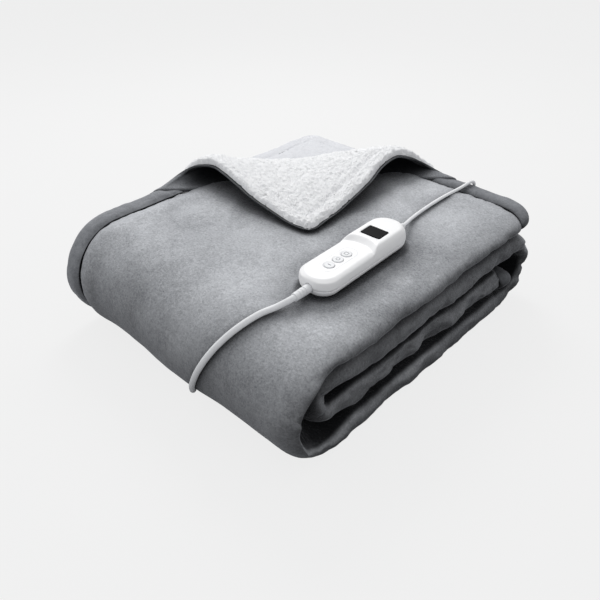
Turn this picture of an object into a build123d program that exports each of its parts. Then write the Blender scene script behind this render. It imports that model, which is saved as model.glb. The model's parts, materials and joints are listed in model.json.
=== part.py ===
from build123d import *
import math
import os

# Electric heated throw, folded four across and rolled in four runs, with its hand controller.
# Frame: x across the folded throw, y along it, z up; origin on the resting surface, at the
# throw's centre. Sizes in mm, angles in degrees.

os.makedirs("parts", exist_ok=True)

# ---------------------------------------------------------------- main dimensions
HALF_W = 159.0          # half of the folded width
HALF_L = 192.0          # half of the folded length, over the turns
RUN_T = 29.0            # pitch of one run, four plies
STACK_H = 4 * RUN_T
END_Y = 175.0           # outer end of the top run
GAP = 0.4               # clearance between neighbouring runs
PLY = 7.0               # pitch of one ply: plush, wire space, sherpa
PLY_T = PLY - 0.1       # thickness of the sheet itself
SKIN = 2.2              # thickness of the plush layer
SHERPA_TOP = 4.8        # depth of the sherpa layer below the plush face
HEM_W = 21.0
HEM_GAP = 0.3           # between a hem and the fabric layers
HEM_R = 2.4             # corner radius of a side hem's section

MAINS_R = 2.7           # cable radii
LEAD_R = 1.7
CABLE_FIT = 0.12        # radial room for a cable where it passes a part
CABLE_LIFT = 0.5        # clearance between a cable and the surface it lies on

CTRL_X, CTRL_Y, CTRL_TURN = 93.3, -43.5, 2.3      # controller's place and heading
CTRL_BASE = STACK_H + GAP
CTRL_L, CTRL_W = 125.0, 38.0
CTRL_END = CTRL_L / 2
CABLE_Z = 8.5           # cable axis above the controller's base
MAINS_TAIL, LEAD_TAIL = 17.0, 13.0                # strain relief lengths outside the case

PLUG_X, PLUG_Y, PLUG_Z = -179.5, 20.0, 6.9        # mains plug: tail of the body, mid-height
SOCK_X, SOCK_Y, SOCK_Z = -2.0, 184.0, 88.0        # mouth of the throw's socket


# ---------------------------------------------------------------- shared helpers
def save(name, shape):
    export_step(shape, os.path.join("parts", name + ".step"))


def save_group(name, shapes, place=Location()):
    """Saves the solids of several shapes as one piece, moved to a place."""
    solids = [place * solid for shape in shapes for solid in shape.solids()]
    save(name, Compound(children=solids))


def prism(sketch, z, height, x=0.0, y=0.0):
    return Pos(x, y, z) * extrude(sketch, amount=height)


def cyl_x(radius, x0, x1, y=0.0, z=0.0):
    return Pos((x0 + x1) / 2, y, z) * Rot(0, 90, 0) * Cylinder(radius, abs(x1 - x0))


def cyl_y(radius, y0, y1, z=0.0, x=0.0):
    return Pos(x, (y0 + y1) / 2, z) * Rot(90, 0, 0) * Cylinder(radius, abs(y1 - y0))


def circle_x(radius, x):
    """Circle facing +x, for a loft."""
    return Plane(origin=(x, 0, 0), z_dir=(1, 0, 0)) * Circle(radius)


def circle_y(radius, y, z=0.0, facing=1):
    """Circle facing +y or -y, for a loft."""
    return Plane(origin=(0, y, z), z_dir=(0, facing, 0)) * Circle(radius)


# ---------------------------------------------------------------- folded sheet section, in (x, n)
# n runs through one run of the roll: 0 on its inner side, RUN_T on its outer side.
RUN_MID = RUN_T / 2
FOLD_R = RUN_MID - GAP                  # outer radius of the double fold at +x
FOLD_X = HALF_W - FOLD_R                # its centre
SINGLE_X = -HALF_W + PLY                # centre of the single fold at -x
SINGLE_N = GAP + PLY
CORE_R = 0.1                            # smallest radius inside a fold
FABRIC_X = -HALF_W + HEM_W + HEM_GAP    # fabric layers start behind the side hems


def rect(x0, x1, n0, n1):
    return Pos((x0 + x1) / 2, (n0 + n1) / 2) * Rectangle(x1 - x0, n1 - n0)


def half_ring(x, n, outer, inner, side):
    ring = Circle(outer) - Circle(inner)
    keep = Pos(side * outer, 0) * Rectangle(2 * outer, 4 * outer)
    return Pos(x, n) * (ring & keep)


def layer(x_start, depth0, depth1):
    """Section of one folded layer between two depths below the plush face."""
    wide0, wide1 = FOLD_R - depth0, FOLD_R - depth1
    single0, single1 = PLY - depth0, max(PLY - depth1, CORE_R)
    tight0 = RUN_MID - (SINGLE_N + single1)
    tight1 = max(RUN_MID - (SINGLE_N + single0), CORE_R)
    section = rect(x_start, FOLD_X, RUN_MID + wide1, RUN_MID + wide0)
    section += half_ring(FOLD_X, RUN_MID, wide0, wide1, 1)
    section += rect(SINGLE_X, FOLD_X, RUN_MID - wide0, RUN_MID - wide1)
    section += half_ring(SINGLE_X, SINGLE_N, single0, single1, -1)
    section += rect(SINGLE_X, FOLD_X, SINGLE_N + single1, SINGLE_N + single0)
    section += half_ring(FOLD_X, RUN_MID, tight0, tight1, 1)
    section += rect(x_start, FOLD_X, RUN_MID + tight1, RUN_MID + tight0)
    return section


# ---------------------------------------------------------------- roll path, in (y, z)
OUTER_TURN_Y = -HALF_L + 2 * RUN_T      # centre of the outer turn at -y
FAR_TURN_Y = HALF_L - 1.5 * RUN_T       # centre of the turn at +y
INNER_TURN_Y = OUTER_TURN_Y + 1.5       # centre of the tight inner turn at -y
INNER_END_Y = FAR_TURN_Y - 1.0          # inner end of the throw
FABRIC_Y0 = END_Y - HEM_W - HEM_GAP     # fabric ends, short of the end hems
FABRIC_Y1 = INNER_END_Y - HEM_W - HEM_GAP
TOP_RUN_Z = STACK_H - RUN_T


def up(y, z):
    """Section plane with n upwards, extruding towards -y."""
    return Plane(origin=(0, y, z), x_dir=(1, 0, 0), z_dir=(0, -1, 0))


def down(y, z):
    """Section plane with n downwards, extruding towards +y."""
    return Plane(origin=(0, y, z), x_dir=(1, 0, 0), z_dir=(0, 1, 0))


def straight_run(plane, section, length):
    return extrude(plane * section, amount=length)


def turn(plane, section, y, z):
    return revolve(plane * section, axis=Axis((0, y, z), (1, 0, 0)), revolution_arc=180)


def roll_up(section):
    """Carries a section along the whole roll, from the top run's end to the inner end."""
    solid = straight_run(up(FABRIC_Y0, TOP_RUN_Z), section, FABRIC_Y0 - OUTER_TURN_Y)
    solid += turn(up(OUTER_TURN_Y, TOP_RUN_Z), section, OUTER_TURN_Y, 2 * RUN_T)
    solid += straight_run(down(OUTER_TURN_Y, RUN_T), section, FAR_TURN_Y - OUTER_TURN_Y)
    solid += turn(down(FAR_TURN_Y, RUN_T), section, FAR_TURN_Y, 1.5 * RUN_T)
    solid += straight_run(up(FAR_TURN_Y, 2 * RUN_T), section, FAR_TURN_Y - INNER_TURN_Y)
    solid += turn(up(INNER_TURN_Y, 2 * RUN_T), section, INNER_TURN_Y, 2 * RUN_T)
    solid += straight_run(down(INNER_TURN_Y, 2 * RUN_T), section, FABRIC_Y1 - INNER_TURN_Y)
    return solid


# ---------------------------------------------------------------- cable modelling
CABLE_STEP = 17.0       # approximate spacing of the points along a cable
MIN_CORNER = 2.0        # a smaller corner is left out, so no arc is nearly straight
NO_CORNER = 0.05
CORNER_CUT = 0.47       # share of the shorter neighbouring length used by a bend
MIN_BEND_ROOM = 0.4     # least amount by which a bend radius exceeds the cable's


def blend(start, end, t_start, t_end, t):
    span = t_end - t_start
    return start * ((t_end - t) / span) + end * ((t - t_start) / span)


def smooth_points(points):
    """Evenly spaced points on a centripetal Catmull-Rom curve through the given ones."""
    knots = [Vector(*point) for point in points]
    knots = [knots[0] * 2 - knots[1]] + knots + [knots[-1] * 2 - knots[-2]]
    smooth = []
    for i in range(1, len(knots) - 2):
        p0, p1, p2, p3 = knots[i - 1:i + 3]
        t0 = 0.0
        t1 = t0 + math.sqrt((p1 - p0).length)
        t2 = t1 + math.sqrt((p2 - p1).length)
        t3 = t2 + math.sqrt((p3 - p2).length)
        count = max(1, round((p2 - p1).length / CABLE_STEP))
        for k in range(count):
            t = t1 + (t2 - t1) * k / count
            a1 = blend(p0, p1, t0, t1, t)
            a2 = blend(p1, p2, t1, t2, t)
            a3 = blend(p2, p3, t2, t3, t)
            b1 = blend(a1, a2, t0, t2, t)
            b2 = blend(a2, a3, t1, t3, t)
            smooth.append(blend(b1, b2, t1, t2, t))
    smooth.append(knots[-2])
    return smooth


def angle_between(way_in, way_out):
    return math.degrees(math.acos(max(-1.0, min(1.0, way_in.dot(way_out)))))


def tube(points, radius):
    """Round cable through the points: straight lengths joined by true arcs."""
    path = smooth_points(points)
    k = 1
    while k < len(path) - 1:
        way_in = (path[k] - path[k - 1]).normalized()
        way_out = (path[k + 1] - path[k]).normalized()
        if angle_between(way_in, way_out) < MIN_CORNER:
            path.pop(k)
        else:
            k += 1
    spans = [end - start for start, end in zip(path, path[1:])]
    ways = [span.normalized() for span in spans]
    lengths = [span.length for span in spans]
    pieces = []

    def add_straight(start, end):
        way = end - start
        if way.length > 1e-4:
            plane = Plane(origin=start, z_dir=way.normalized())
            pieces.append(extrude(plane * Circle(radius), amount=way.length).solid())

    here = path[0]
    for i in range(1, len(path) - 1):
        way_in, way_out = ways[i - 1], ways[i]
        angle = angle_between(way_in, way_out)
        if angle < NO_CORNER:
            continue
        cut = CORNER_CUT * min(lengths[i - 1], lengths[i])
        bend_start = path[i] - way_in * cut
        add_straight(here, bend_start)
        bend_r = cut / math.tan(math.radians(angle) / 2)
        if bend_r < radius + MIN_BEND_ROOM:
            raise ValueError("cable bends too sharply")
        hinge = way_in.cross(way_out).normalized()
        centre = bend_start + hinge.cross(way_in).normalized() * bend_r
        bend = revolve(Plane(origin=bend_start, z_dir=way_in) * Circle(radius),
                       axis=Axis(tuple(centre), tuple(hinge)), revolution_arc=angle)
        pieces.append(bend.solid())
        here = path[i] + way_out * cut
    add_straight(here, path[-1])
    solids = pieces[0].fuse(*pieces[1:]).solids()
    if len(solids) != 1 or not solids[0].is_valid:
        raise ValueError("cable did not join into one solid")
    return solids[0]


def ctrl_point(y):
    """Point on the controller's cable axis, y along the controller."""
    heading = math.radians(CTRL_TURN)
    return (CTRL_X - y * math.sin(heading), CTRL_Y + y * math.cos(heading), CTRL_BASE + CABLE_Z)


def on_turn(x, degrees, rise):
    """Point above the outer turn's surface; degrees from the top, towards -y."""
    angle = math.radians(degrees)
    reach = 2 * RUN_T + rise
    return (x, OUTER_TURN_Y - reach * math.sin(angle), 2 * RUN_T + reach * math.cos(angle))


# ---------------------------------------------------------------- mains cable
# From the controller, down around the outer turn, along the groove below it, to the plug.
GROOVE_Y, GROOVE_Z = OUTER_TURN_Y - 23.0, MAINS_R + 0.2
MAINS_RISE = MAINS_R + CABLE_LIFT
CABLE_INNER_Y, CABLE_CASE_Y = 45.5, 60.0         # both cables' first points in the case
# x, degrees from the top of the outer turn
TURN_POINTS = [(84.5, 15), (76.5, 35), (67.0, 56), (56.5, 78), (45.0, 100), (32.0, 122),
               (16.0, 140)]
mains_points = [
    ctrl_point(-CABLE_INNER_Y), ctrl_point(-CABLE_CASE_Y), ctrl_point(-CTRL_END - MAINS_TAIL),
    (90.5, -136.0, STACK_H + MAINS_RISE + 0.8),
    *[on_turn(x, degrees, MAINS_RISE) for x, degrees in TURN_POINTS],
    (-2.0, GROOVE_Y - 3.0, GROOVE_Z + 1.0),
    *[(x, GROOVE_Y, GROOVE_Z) for x in (-30.0, -70.0, -110.0, -148.0)],
    (-166.0, GROOVE_Y + 7.0, GROOVE_Z), (-176.0, GROOVE_Y + 24.0, GROOVE_Z),
    (PLUG_X, -100.0, GROOVE_Z), (PLUG_X, -50.0, GROOVE_Z), (PLUG_X, -10.0, GROOVE_Z + 0.6),
    (PLUG_X, PLUG_Y - 12.0, PLUG_Z - 0.5), (PLUG_X, PLUG_Y + 6.0, PLUG_Z),
]
save("mains_cable", tube(mains_points, MAINS_R))
mains_room = tube(mains_points, MAINS_R + CABLE_FIT)

# ---------------------------------------------------------------- lead cable
# From the controller, along the top run, over its end to the coupler.
LEAD_Z = STACK_H + LEAD_R + CABLE_LIFT
BOOT_END_X = SOCK_X + 52.0
lead_points = [
    ctrl_point(CABLE_INNER_Y), ctrl_point(CABLE_CASE_Y), ctrl_point(CTRL_END + LEAD_TAIL),
    (81.0, 62.0, LEAD_Z + 0.3), (78.6, 89.0, LEAD_Z), (78.0, 120.0, LEAD_Z),
    (79.5, 150.0, LEAD_Z), (81.0, END_Y - 3.0, LEAD_Z + 0.6),
    (80.0, END_Y + 5.4, STACK_H - 3.5), (74.5, SOCK_Y + 0.5, SOCK_Z + 8.0),
    (64.0, SOCK_Y, SOCK_Z + 1.0), (BOOT_END_X, SOCK_Y, SOCK_Z),
    (BOOT_END_X - 14.0, SOCK_Y, SOCK_Z),
]
save("lead_cable", tube(lead_points, LEAD_R))
lead_room = tube(lead_points, LEAD_R + CABLE_FIT)

# ---------------------------------------------------------------- turned-back corner, placing
FOLD_C = -141.0         # the fold line is x - y = FOLD_C
FLAP_LEN = 136.0        # fold line to the corner's point
FLAP_V0 = 3.0           # the point's place along the fold line
FLAP_HALF = 106.0       # half of the flap's length along the fold line
FLAP_TILT = 7.5         # the flap slopes down to its point
ROLL_MID = 13.0         # middle radius of the soft roll at the fold line
ROLL_Z = STACK_H - GAP - PLY / 2 + ROLL_MID       # axis of the soft roll and of the flap's hinge
V0_STEP = FLAP_V0 * math.sqrt(0.5)

# Local x runs from the fold line to the point, local y along the fold line.
FLAP_PLANE = Plane(origin=(FOLD_C / 2 + V0_STEP, -FOLD_C / 2 + V0_STEP, 0),
                   x_dir=(1, -1, 0), z_dir=(0, 0, 1))
# Takes the corner beyond the fold line off the top ply.
CUT_H = 20.0
CUT_Z = STACK_H - GAP - PLY + 0.05 + CUT_H / 2
corner_cut = FLAP_PLANE * Pos(-200.0, 0, CUT_Z) * Box(400.0, 700.0, CUT_H)

# ---------------------------------------------------------------- fabric layers
# The mains cable's shallow groove in the plush under the outer turn.
groove = cyl_x(MAINS_R + 0.3, -175.0, 55.0, GROOVE_Y, GROOVE_Z)

plush = roll_up(layer(FABRIC_X, 0.0, SKIN)) - corner_cut
save("plush_face", plush - groove - mains_room)
save("sherpa_back", roll_up(layer(FABRIC_X, SHERPA_TOP, PLY_T)) - corner_cut)


# ---------------------------------------------------------------- hems
def side_hem(n, thickness):
    section = RectangleRounded(HEM_W, thickness, HEM_R)
    return roll_up(Pos(-HALF_W + HEM_W / 2, n) * section)


# Both long edges of the sheet lie at -x, one in the outer ply and one inside the fold.
outer_side_hem = side_hem(RUN_MID + FOLD_R - PLY_T / 2, PLY_T)
inner_side_hem = side_hem(RUN_MID + CORE_R + PLY_T / 2 - 0.05, PLY_T - 0.1)
outer_side_hem = outer_side_hem - corner_cut - groove - mains_room
save_group("side_hems", [outer_side_hem, inner_side_hem])

full_sheet = layer(-HALF_W, 0.0, PLY_T)
outer_hem = straight_run(up(END_Y, TOP_RUN_Z), full_sheet, HEM_W) - corner_cut - lead_room
inner_hem = straight_run(down(INNER_END_Y - HEM_W, 2 * RUN_T), full_sheet, HEM_W)
save_group("end_hems", [outer_hem, inner_hem])


# ---------------------------------------------------------------- turned-back corner
def flap_outline(inset):
    """Corner triangle, square at the point, its two ends trimmed."""
    tip = FLAP_LEN - inset * math.sqrt(2)
    half = FLAP_HALF - inset
    points = [(0.5, -half), (tip - half, -half), (tip, 0), (tip - half, half), (0.5, half)]
    return make_face(Polyline(*points, close=True))


def flap_slab(outline, z0, z1):
    return FLAP_PLANE * Pos(0, 0, ROLL_Z) * Rot(0, FLAP_TILT, 0) * prism(outline, z0, z1 - z0)


FLAP_Z = ROLL_MID - PLY / 2             # flap's underside above the hinge
save("flap_plush", flap_slab(flap_outline(HEM_W + HEM_GAP), FLAP_Z, FLAP_Z + SKIN))
save("flap_sherpa", flap_slab(flap_outline(HEM_W + HEM_GAP), FLAP_Z + SKIN + 0.3, FLAP_Z + PLY))
save("flap_hem", flap_slab(flap_outline(0.0) - flap_outline(HEM_W), FLAP_Z, FLAP_Z + PLY))

# Half ring along the fold line, joining the top ply to the flap.
ROLL_HALF = 112.0
ring = Circle(ROLL_MID + PLY / 2) - Circle(ROLL_MID - PLY / 2)
ring = ring & (Pos(-50.3, 0) * Rectangle(100, 100))
fold_roll = extrude(up(0, 0) * ring, amount=ROLL_HALF, both=True)
save("corner_fold_roll", FLAP_PLANE * Pos(0, 4.0, ROLL_Z + 0.05) * fold_roll)

# Care label, upright beside the -x edge.
label_place = Pos(-HALF_W - 1.6, -58.0, TOP_RUN_Z + RUN_MID - 12.5)
save("care_label", label_place * Box(0.8, 34.0, 26.0))

# ---------------------------------------------------------------- heating wire
# One serpentine through the whole roll, between the plush and the sherpa.
WIRE_R = 1.0
WIRE_PITCH = 40.0
WIRE_X0 = -110.0
WIRE_N = RUN_T - GAP - 3.45             # the wire's place through a run
WIRE_TOP_Y = [10.0, 30.0, 30.0, 110.0, 110.0, 120.0]      # outer ends of the lengthwise runs
WIRE_INNER_Y = 105.0                    # their inner ends
WIRE_TOP_Z = TOP_RUN_Z + WIRE_N
WIRE_INNER_Z = 2 * RUN_T - WIRE_N
SPLICE_R, SPLICE_LEN = 1.15, 12.0
wire_x = [WIRE_X0 + WIRE_PITCH * i for i in range(len(WIRE_TOP_Y))]


def wire_run(x, top_y):
    """One lengthwise run, outer end first: two points for a line, three for an arc."""
    bottom_z, third_z = RUN_T - WIRE_N, 2 * RUN_T + WIRE_N
    outer_y = OUTER_TURN_Y - (RUN_T + WIRE_N)
    far_y = FAR_TURN_Y + 0.5 * RUN_T + WIRE_N
    inner_y = INNER_TURN_Y - WIRE_N
    yz_segments = [
        [(top_y, WIRE_TOP_Z), (OUTER_TURN_Y, WIRE_TOP_Z)],
        [(OUTER_TURN_Y, WIRE_TOP_Z), (outer_y, 2 * RUN_T), (OUTER_TURN_Y, bottom_z)],
        [(OUTER_TURN_Y, bottom_z), (FAR_TURN_Y, bottom_z)],
        [(FAR_TURN_Y, bottom_z), (far_y, 1.5 * RUN_T), (FAR_TURN_Y, third_z)],
        [(FAR_TURN_Y, third_z), (INNER_TURN_Y, third_z)],
        [(INNER_TURN_Y, third_z), (inner_y, 2 * RUN_T), (INNER_TURN_Y, WIRE_INNER_Z)],
        [(INNER_TURN_Y, WIRE_INNER_Z), (WIRE_INNER_Y, WIRE_INNER_Z)],
    ]
    return [[(x, y, z) for y, z in segment] for segment in yz_segments]


segments = []
for i, (x, top_y) in enumerate(zip(wire_x, WIRE_TOP_Y)):
    run = wire_run(x, top_y)
    if i % 2 == 0:
        segments += run
        y, z = WIRE_INNER_Y, WIRE_INNER_Z
    else:
        segments += [segment[::-1] for segment in reversed(run)]
        y, z = top_y, WIRE_TOP_Z
    if i + 1 < len(wire_x):             # bend across to the next run
        middle = (x + WIRE_PITCH / 2, y + WIRE_PITCH / 2, z)
        segments.append([(x, y, z), middle, (x + WIRE_PITCH, y, z)])
wire_path = Wire([Edge.make_line(*s) if len(s) == 2 else Edge.make_three_point_arc(*s)
                  for s in segments])
wire_start = Plane(origin=segments[0][0], z_dir=(0, -1, 0))
save("heating_wire", sweep(wire_start * Circle(WIRE_R), path=wire_path))

save_group("wire_splices", [
    cyl_y(SPLICE_R, WIRE_TOP_Y[i] + 0.2, WIRE_TOP_Y[i] + 0.2 + SPLICE_LEN, WIRE_TOP_Z, wire_x[i])
    for i in (0, -1)])

# ---------------------------------------------------------------- controller
# In its own frame: z from its base, +y towards the lead.
CTRL = Location((CTRL_X, CTRL_Y, CTRL_BASE), (0, 0, CTRL_TURN))
CTRL_R = 16.0           # plan corner radius
CTRL_SPLIT = 8.5        # parting line above the base
CTRL_H_KEYS = 18.0      # height over the keys
CTRL_H_HEAD = 22.0      # height over the display
WALL = 2.0
KEYS_ROOF, HEAD_ROOF = CTRL_H_KEYS - WALL, CTRL_H_HEAD - WALL    # undersides of the top wall
STEP_Y = 3.0            # place of the curved step between the keys and the head
DISPLAY_Y = 28.0
KEY_R = 4.4
KEY_Y = {"power_button": -12.4, "timer_button": -24.0, "heat_button": -35.6}
MAINS_HOLE_R, LEAD_HOLE_R = 4.2, 3.4
FIXING_Y = 50.0         # screw bosses and cable clamps, from the middle
BOSSES = [(side * 9.5, end * FIXING_Y) for side in (-1, 1) for end in (-1, 1)]
BOSS_Z = WALL - 0.1
BOARD_Z = 9.6           # underside of the circuit board
BOARD_T = 1.6
BOARD_TOP = BOARD_Z + BOARD_T
SEAT_Z = BOARD_TOP + 0.05               # underside of the parts on the board


def plan(inset):
    return RectangleRounded(CTRL_W - 2 * inset, CTRL_L - 2 * inset, CTRL_R - inset)


cable_holes = cyl_y(MAINS_HOLE_R, -CTRL_END - 5, -CTRL_END + 6, CABLE_Z)
cable_holes += cyl_y(LEAD_HOLE_R, CTRL_END - 6, CTRL_END + 5, CABLE_Z)


def bottom_shell():
    shell = extrude(plan(0), amount=CTRL_SPLIT - 0.1)
    shell = fillet(shell.edges().group_by(Axis.Z)[0], 3.5)
    shell -= prism(plan(WALL), WALL, 20)
    for x, y in BOSSES:
        shell += prism(Circle(2.8), BOSS_Z, 4.5, x, y)
    shell -= cable_holes
    for x, y in BOSSES:                 # screw hole, and recess for its head
        shell -= prism(Circle(1.4), BOSS_Z - 5, 20, x, y)
        shell -= prism(Circle(2.6), 0, 1.6, x, y)
    return shell


def top_shell():
    shell = prism(plan(0), CTRL_SPLIT, CTRL_H_HEAD - CTRL_SPLIT)
    shell = fillet(shell.edges().group_by(Axis.Z)[-1], 4.0)
    # Lower the key end, with a round front to the step.
    scoop = Pos(0, STEP_Y - 60.0, CTRL_H_KEYS + 10) * Box(60, 110, 20)
    scoop += prism(Circle(30.0), CTRL_H_KEYS, 20, y=STEP_Y - 24.0)
    shell -= scoop
    cavity_z = CTRL_SPLIT - 1
    head_plan = plan(WALL) & (Pos(0, 36.0) * Rectangle(60, 52))
    shell -= prism(plan(WALL), cavity_z, KEYS_ROOF - cavity_z)
    shell -= prism(head_plan, cavity_z, HEAD_ROOF - cavity_z)
    shell -= cable_holes
    shell -= prism(RectangleRounded(20.4, 15.4, 1.2), HEAD_ROOF - 0.5, 5, y=DISPLAY_Y)
    for y in KEY_Y.values():
        shell -= prism(Circle(KEY_R + 0.2), KEYS_ROOF - 1, 6, y=y)
    return shell


def key(y):
    """Round key with a flange under the case's top wall."""
    cap = prism(Circle(KEY_R), KEYS_ROOF - 0.2, WALL + 0.6, y=y)
    cap = fillet(cap.edges().group_by(Axis.Z)[-1], 0.35)
    return cap + prism(Circle(KEY_R + 0.9), KEYS_ROOF - 1.1, 0.95, y=y)


def display_window():
    """Pane, the flange under it and the neck that joins them."""
    window = prism(RectangleRounded(20.0, 15.0, 1.0), HEAD_ROOF, WALL + 0.1, y=DISPLAY_Y)
    window += prism(RectangleRounded(24.0, 18.0, 1.0), HEAD_ROOF - 1.1, 0.95, y=DISPLAY_Y)
    window += prism(RectangleRounded(19.6, 14.6, 1.0), HEAD_ROOF - 0.5, 1.0, y=DISPLAY_Y)
    return window


def display_module():
    module = prism(Rectangle(23.0, 17.0), BOARD_TOP + 0.1, 7.2, y=DISPLAY_Y)
    return module - prism(Rectangle(18.0, 12.0), BOARD_TOP + 6.7, 2.0, y=DISPLAY_Y)


def circuit_board():
    board = prism(plan(WALL + 0.8) & Rectangle(60, 86.0), BOARD_Z, BOARD_T)
    for x in (-14.0, 14.0):
        for y in (40.0, -40.0):
            board -= prism(Circle(1.2), BOARD_Z - 1, 5, x, y)
    return board


def tact_switch(y):
    switch = prism(RectangleRounded(6.0, 6.0, 0.4), SEAT_Z, 1.9, y=y)
    return switch + prism(Circle(1.7), BOARD_TOP + 1.9, 0.75, y=y)


def triac():
    body = prism(Rectangle(10.0, 9.0), SEAT_Z, 4.3, x=-8.5, y=10.5)
    return body + prism(Rectangle(10.0, 2.0), SEAT_Z, 1.3, x=-8.5, y=5.6)


def cable_clamp(end, cable_r):
    block = Pos(0, end * FIXING_Y, CABLE_Z) * Box(11.0, 5.0, 9.0)
    return block - cyl_y(cable_r + 0.35, end * (FIXING_Y - 4), end * (FIXING_Y + 4), CABLE_Z)


def case_screw(x, y):
    """Screw from below, with a cross slot in its head."""
    screw = prism(Circle(2.4), 0.2, 1.2, x, y)
    screw += prism(Circle(1.2), 0.9, 9.0, x, y)
    screw -= prism(Rectangle(3.0, 0.5), 0.1, 0.7, x, y)
    screw -= prism(Rectangle(0.5, 3.0), 0.1, 0.7, x, y)
    return screw


def strain_relief(cable_r, hole_r, length):
    """Sleeve in the +y case end: flange inside, neck in the hole, tapered ringed tail."""
    inner_y = CTRL_END - WALL
    tail_end = CTRL_END + length
    body = cyl_y(hole_r + 1.4, inner_y - 2.2, inner_y - 0.3, CABLE_Z)
    body += cyl_y(hole_r - 0.15, inner_y - 1.0, CTRL_END + 0.6, CABLE_Z)
    body += loft([circle_y(cable_r + 1.4, CTRL_END + 0.3, CABLE_Z),
                  circle_y(cable_r + 0.9, tail_end, CABLE_Z)])
    for k in range(3):
        y = CTRL_END + length * (0.35 + 0.2 * k)
        ring_cut = cyl_y(cable_r + 3.0, y - 0.6, y + 0.6, CABLE_Z)
        body -= ring_cut - cyl_y(cable_r + 0.7, y - 1, y + 1, CABLE_Z)
    return body - cyl_y(cable_r + 0.05, 0, tail_end + 5, CABLE_Z)


save("controller_bottom_shell", CTRL * bottom_shell())
save("controller_top_shell", CTRL * top_shell())
for name, y in KEY_Y.items():
    save(name, CTRL * key(y))
save("display_window", CTRL * display_window())
save("display_module", CTRL * display_module())
save("circuit_board", CTRL * circuit_board())
save_group("tact_switches", [tact_switch(y) for y in KEY_Y.values()], CTRL)
save("triac", CTRL * triac())
save("thermal_fuse", CTRL * cyl_y(2.0, 4.0, 15.0, BOARD_TOP + 2.1, x=9.0))
dropper = prism(RectangleRounded(18.0, 13.0, 1.0), z=2.9, height=6.4, x=5.0, y=25.0)
save("dropper_capacitor", CTRL * dropper)
save("smoothing_capacitor", CTRL * cyl_y(3.0, -30.0, -18.5, 6.2, x=-6.0))
save("control_chip", CTRL * prism(Rectangle(6.0, 9.0), SEAT_Z, 1.6, x=9.5, y=-9.0))
save_group("cable_clamps", [cable_clamp(-1, MAINS_R), cable_clamp(1, LEAD_R)], CTRL)
save_group("case_screws", [case_screw(x, y) for x, y in BOSSES], CTRL)
mains_relief = Rot(0, 0, 180) * strain_relief(MAINS_R, MAINS_HOLE_R, MAINS_TAIL)
save("mains_strain_relief", CTRL * mains_relief - mains_room)
lead_relief = strain_relief(LEAD_R, LEAD_HOLE_R, LEAD_TAIL)
save("lead_strain_relief", CTRL * lead_relief - lead_room)

# ---------------------------------------------------------------- mains plug
# Lying flat beside the throw; in its own frame +y runs from the cable end to the pins.
PLUG = Location((PLUG_X, PLUG_Y, PLUG_Z))
PLUG_LEN, PLUG_W, PLUG_T = 36.0, 35.0, 13.6
PLUG_FILLET = 2.0
PIN_R, PIN_CORE_R = 2.0, 1.45
PIN_X = (-9.3, 9.3)
PIN_END = PLUG_LEN + 19.0
PIN_TIP_Y = PIN_END - 9.0               # start of the bare tip
# x, y of the body's +x side
PLUG_SIDE = [(6.0, 0), (PLUG_W / 2 - 2, 16.0), (PLUG_W / 2, PLUG_LEN - 6), (PLUG_W / 2, PLUG_LEN)]


def plug_body():
    outline = [(-x, y) for x, y in PLUG_SIDE] + PLUG_SIDE[::-1]
    body = prism(make_face(Polyline(*outline, close=True)), -PLUG_T / 2, PLUG_T)
    body = fillet(body.edges().filter_by(Axis.Z), PLUG_FILLET)
    levels = body.edges().group_by(Axis.Z)
    body = fillet(levels[0] + levels[-1], PLUG_FILLET)
    body += loft([circle_y(5.6, 3.0, facing=-1), circle_y(4.2, -14.0, facing=-1)])
    body -= cyl_y(MAINS_R + 0.1, -30.0, 6.5)
    for x in PIN_X:
        body -= cyl_y(PIN_CORE_R + 0.05, PLUG_LEN - 10.2, PLUG_LEN + 1, x=x)
    return body


def plug_pin(x):
    tip = cyl_y(PIN_R, PIN_TIP_Y, PIN_END, x=x)
    tip = fillet(tip.edges().group_by(Axis.Y)[-1], 1.0)
    return tip + cyl_y(PIN_CORE_R, PLUG_LEN - 9.9, PIN_TIP_Y + 1, x=x)


def pin_sleeve(x):
    bore = cyl_y(PIN_CORE_R + 0.05, PLUG_LEN - 12, PIN_TIP_Y + 1, x=x)
    return cyl_y(PIN_R, PLUG_LEN + 0.05, PIN_TIP_Y - 0.02, x=x) - bore


save("mains_plug_body", PLUG * plug_body() - mains_room)
save_group("plug_pins", [plug_pin(x) for x in PIN_X], PLUG)
save_group("pin_sleeves", [pin_sleeve(x) for x in PIN_X], PLUG)

# ---------------------------------------------------------------- throw socket and lead coupler
# Beyond the +y end hem; in their own frame the socket is at -x and the coupler at +x.
SOCK = Location((SOCK_X, SOCK_Y, SOCK_Z))
CONTACT_Z = (-4.0, 0.0, 4.0)
LATCH_X = 14.0


def bar_x(x0, x1, width, height, radius):
    """Rounded bar along x, its width across y and height across z."""
    plane = Plane(origin=(x0, 0, 0), x_dir=(0, 1, 0), z_dir=(1, 0, 0))
    return extrude(plane * RectangleRounded(width, height, radius), amount=x1 - x0)


def socket_housing():
    """Housing with a flat plate on its -y side."""
    housing = bar_x(-40.0, 0.0, width=14.0, height=20.0, radius=4.0)
    housing += Pos(-20.0, -7.4, 6.0) * Box(52.0, 1.2, 30.0)
    housing -= bar_x(-13.0, 1.0, width=9.6, height=14.6, radius=2.3)
    for z in CONTACT_Z:
        housing -= cyl_x(0.85, -20.0, -12.0, z=z)
    return housing


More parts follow.
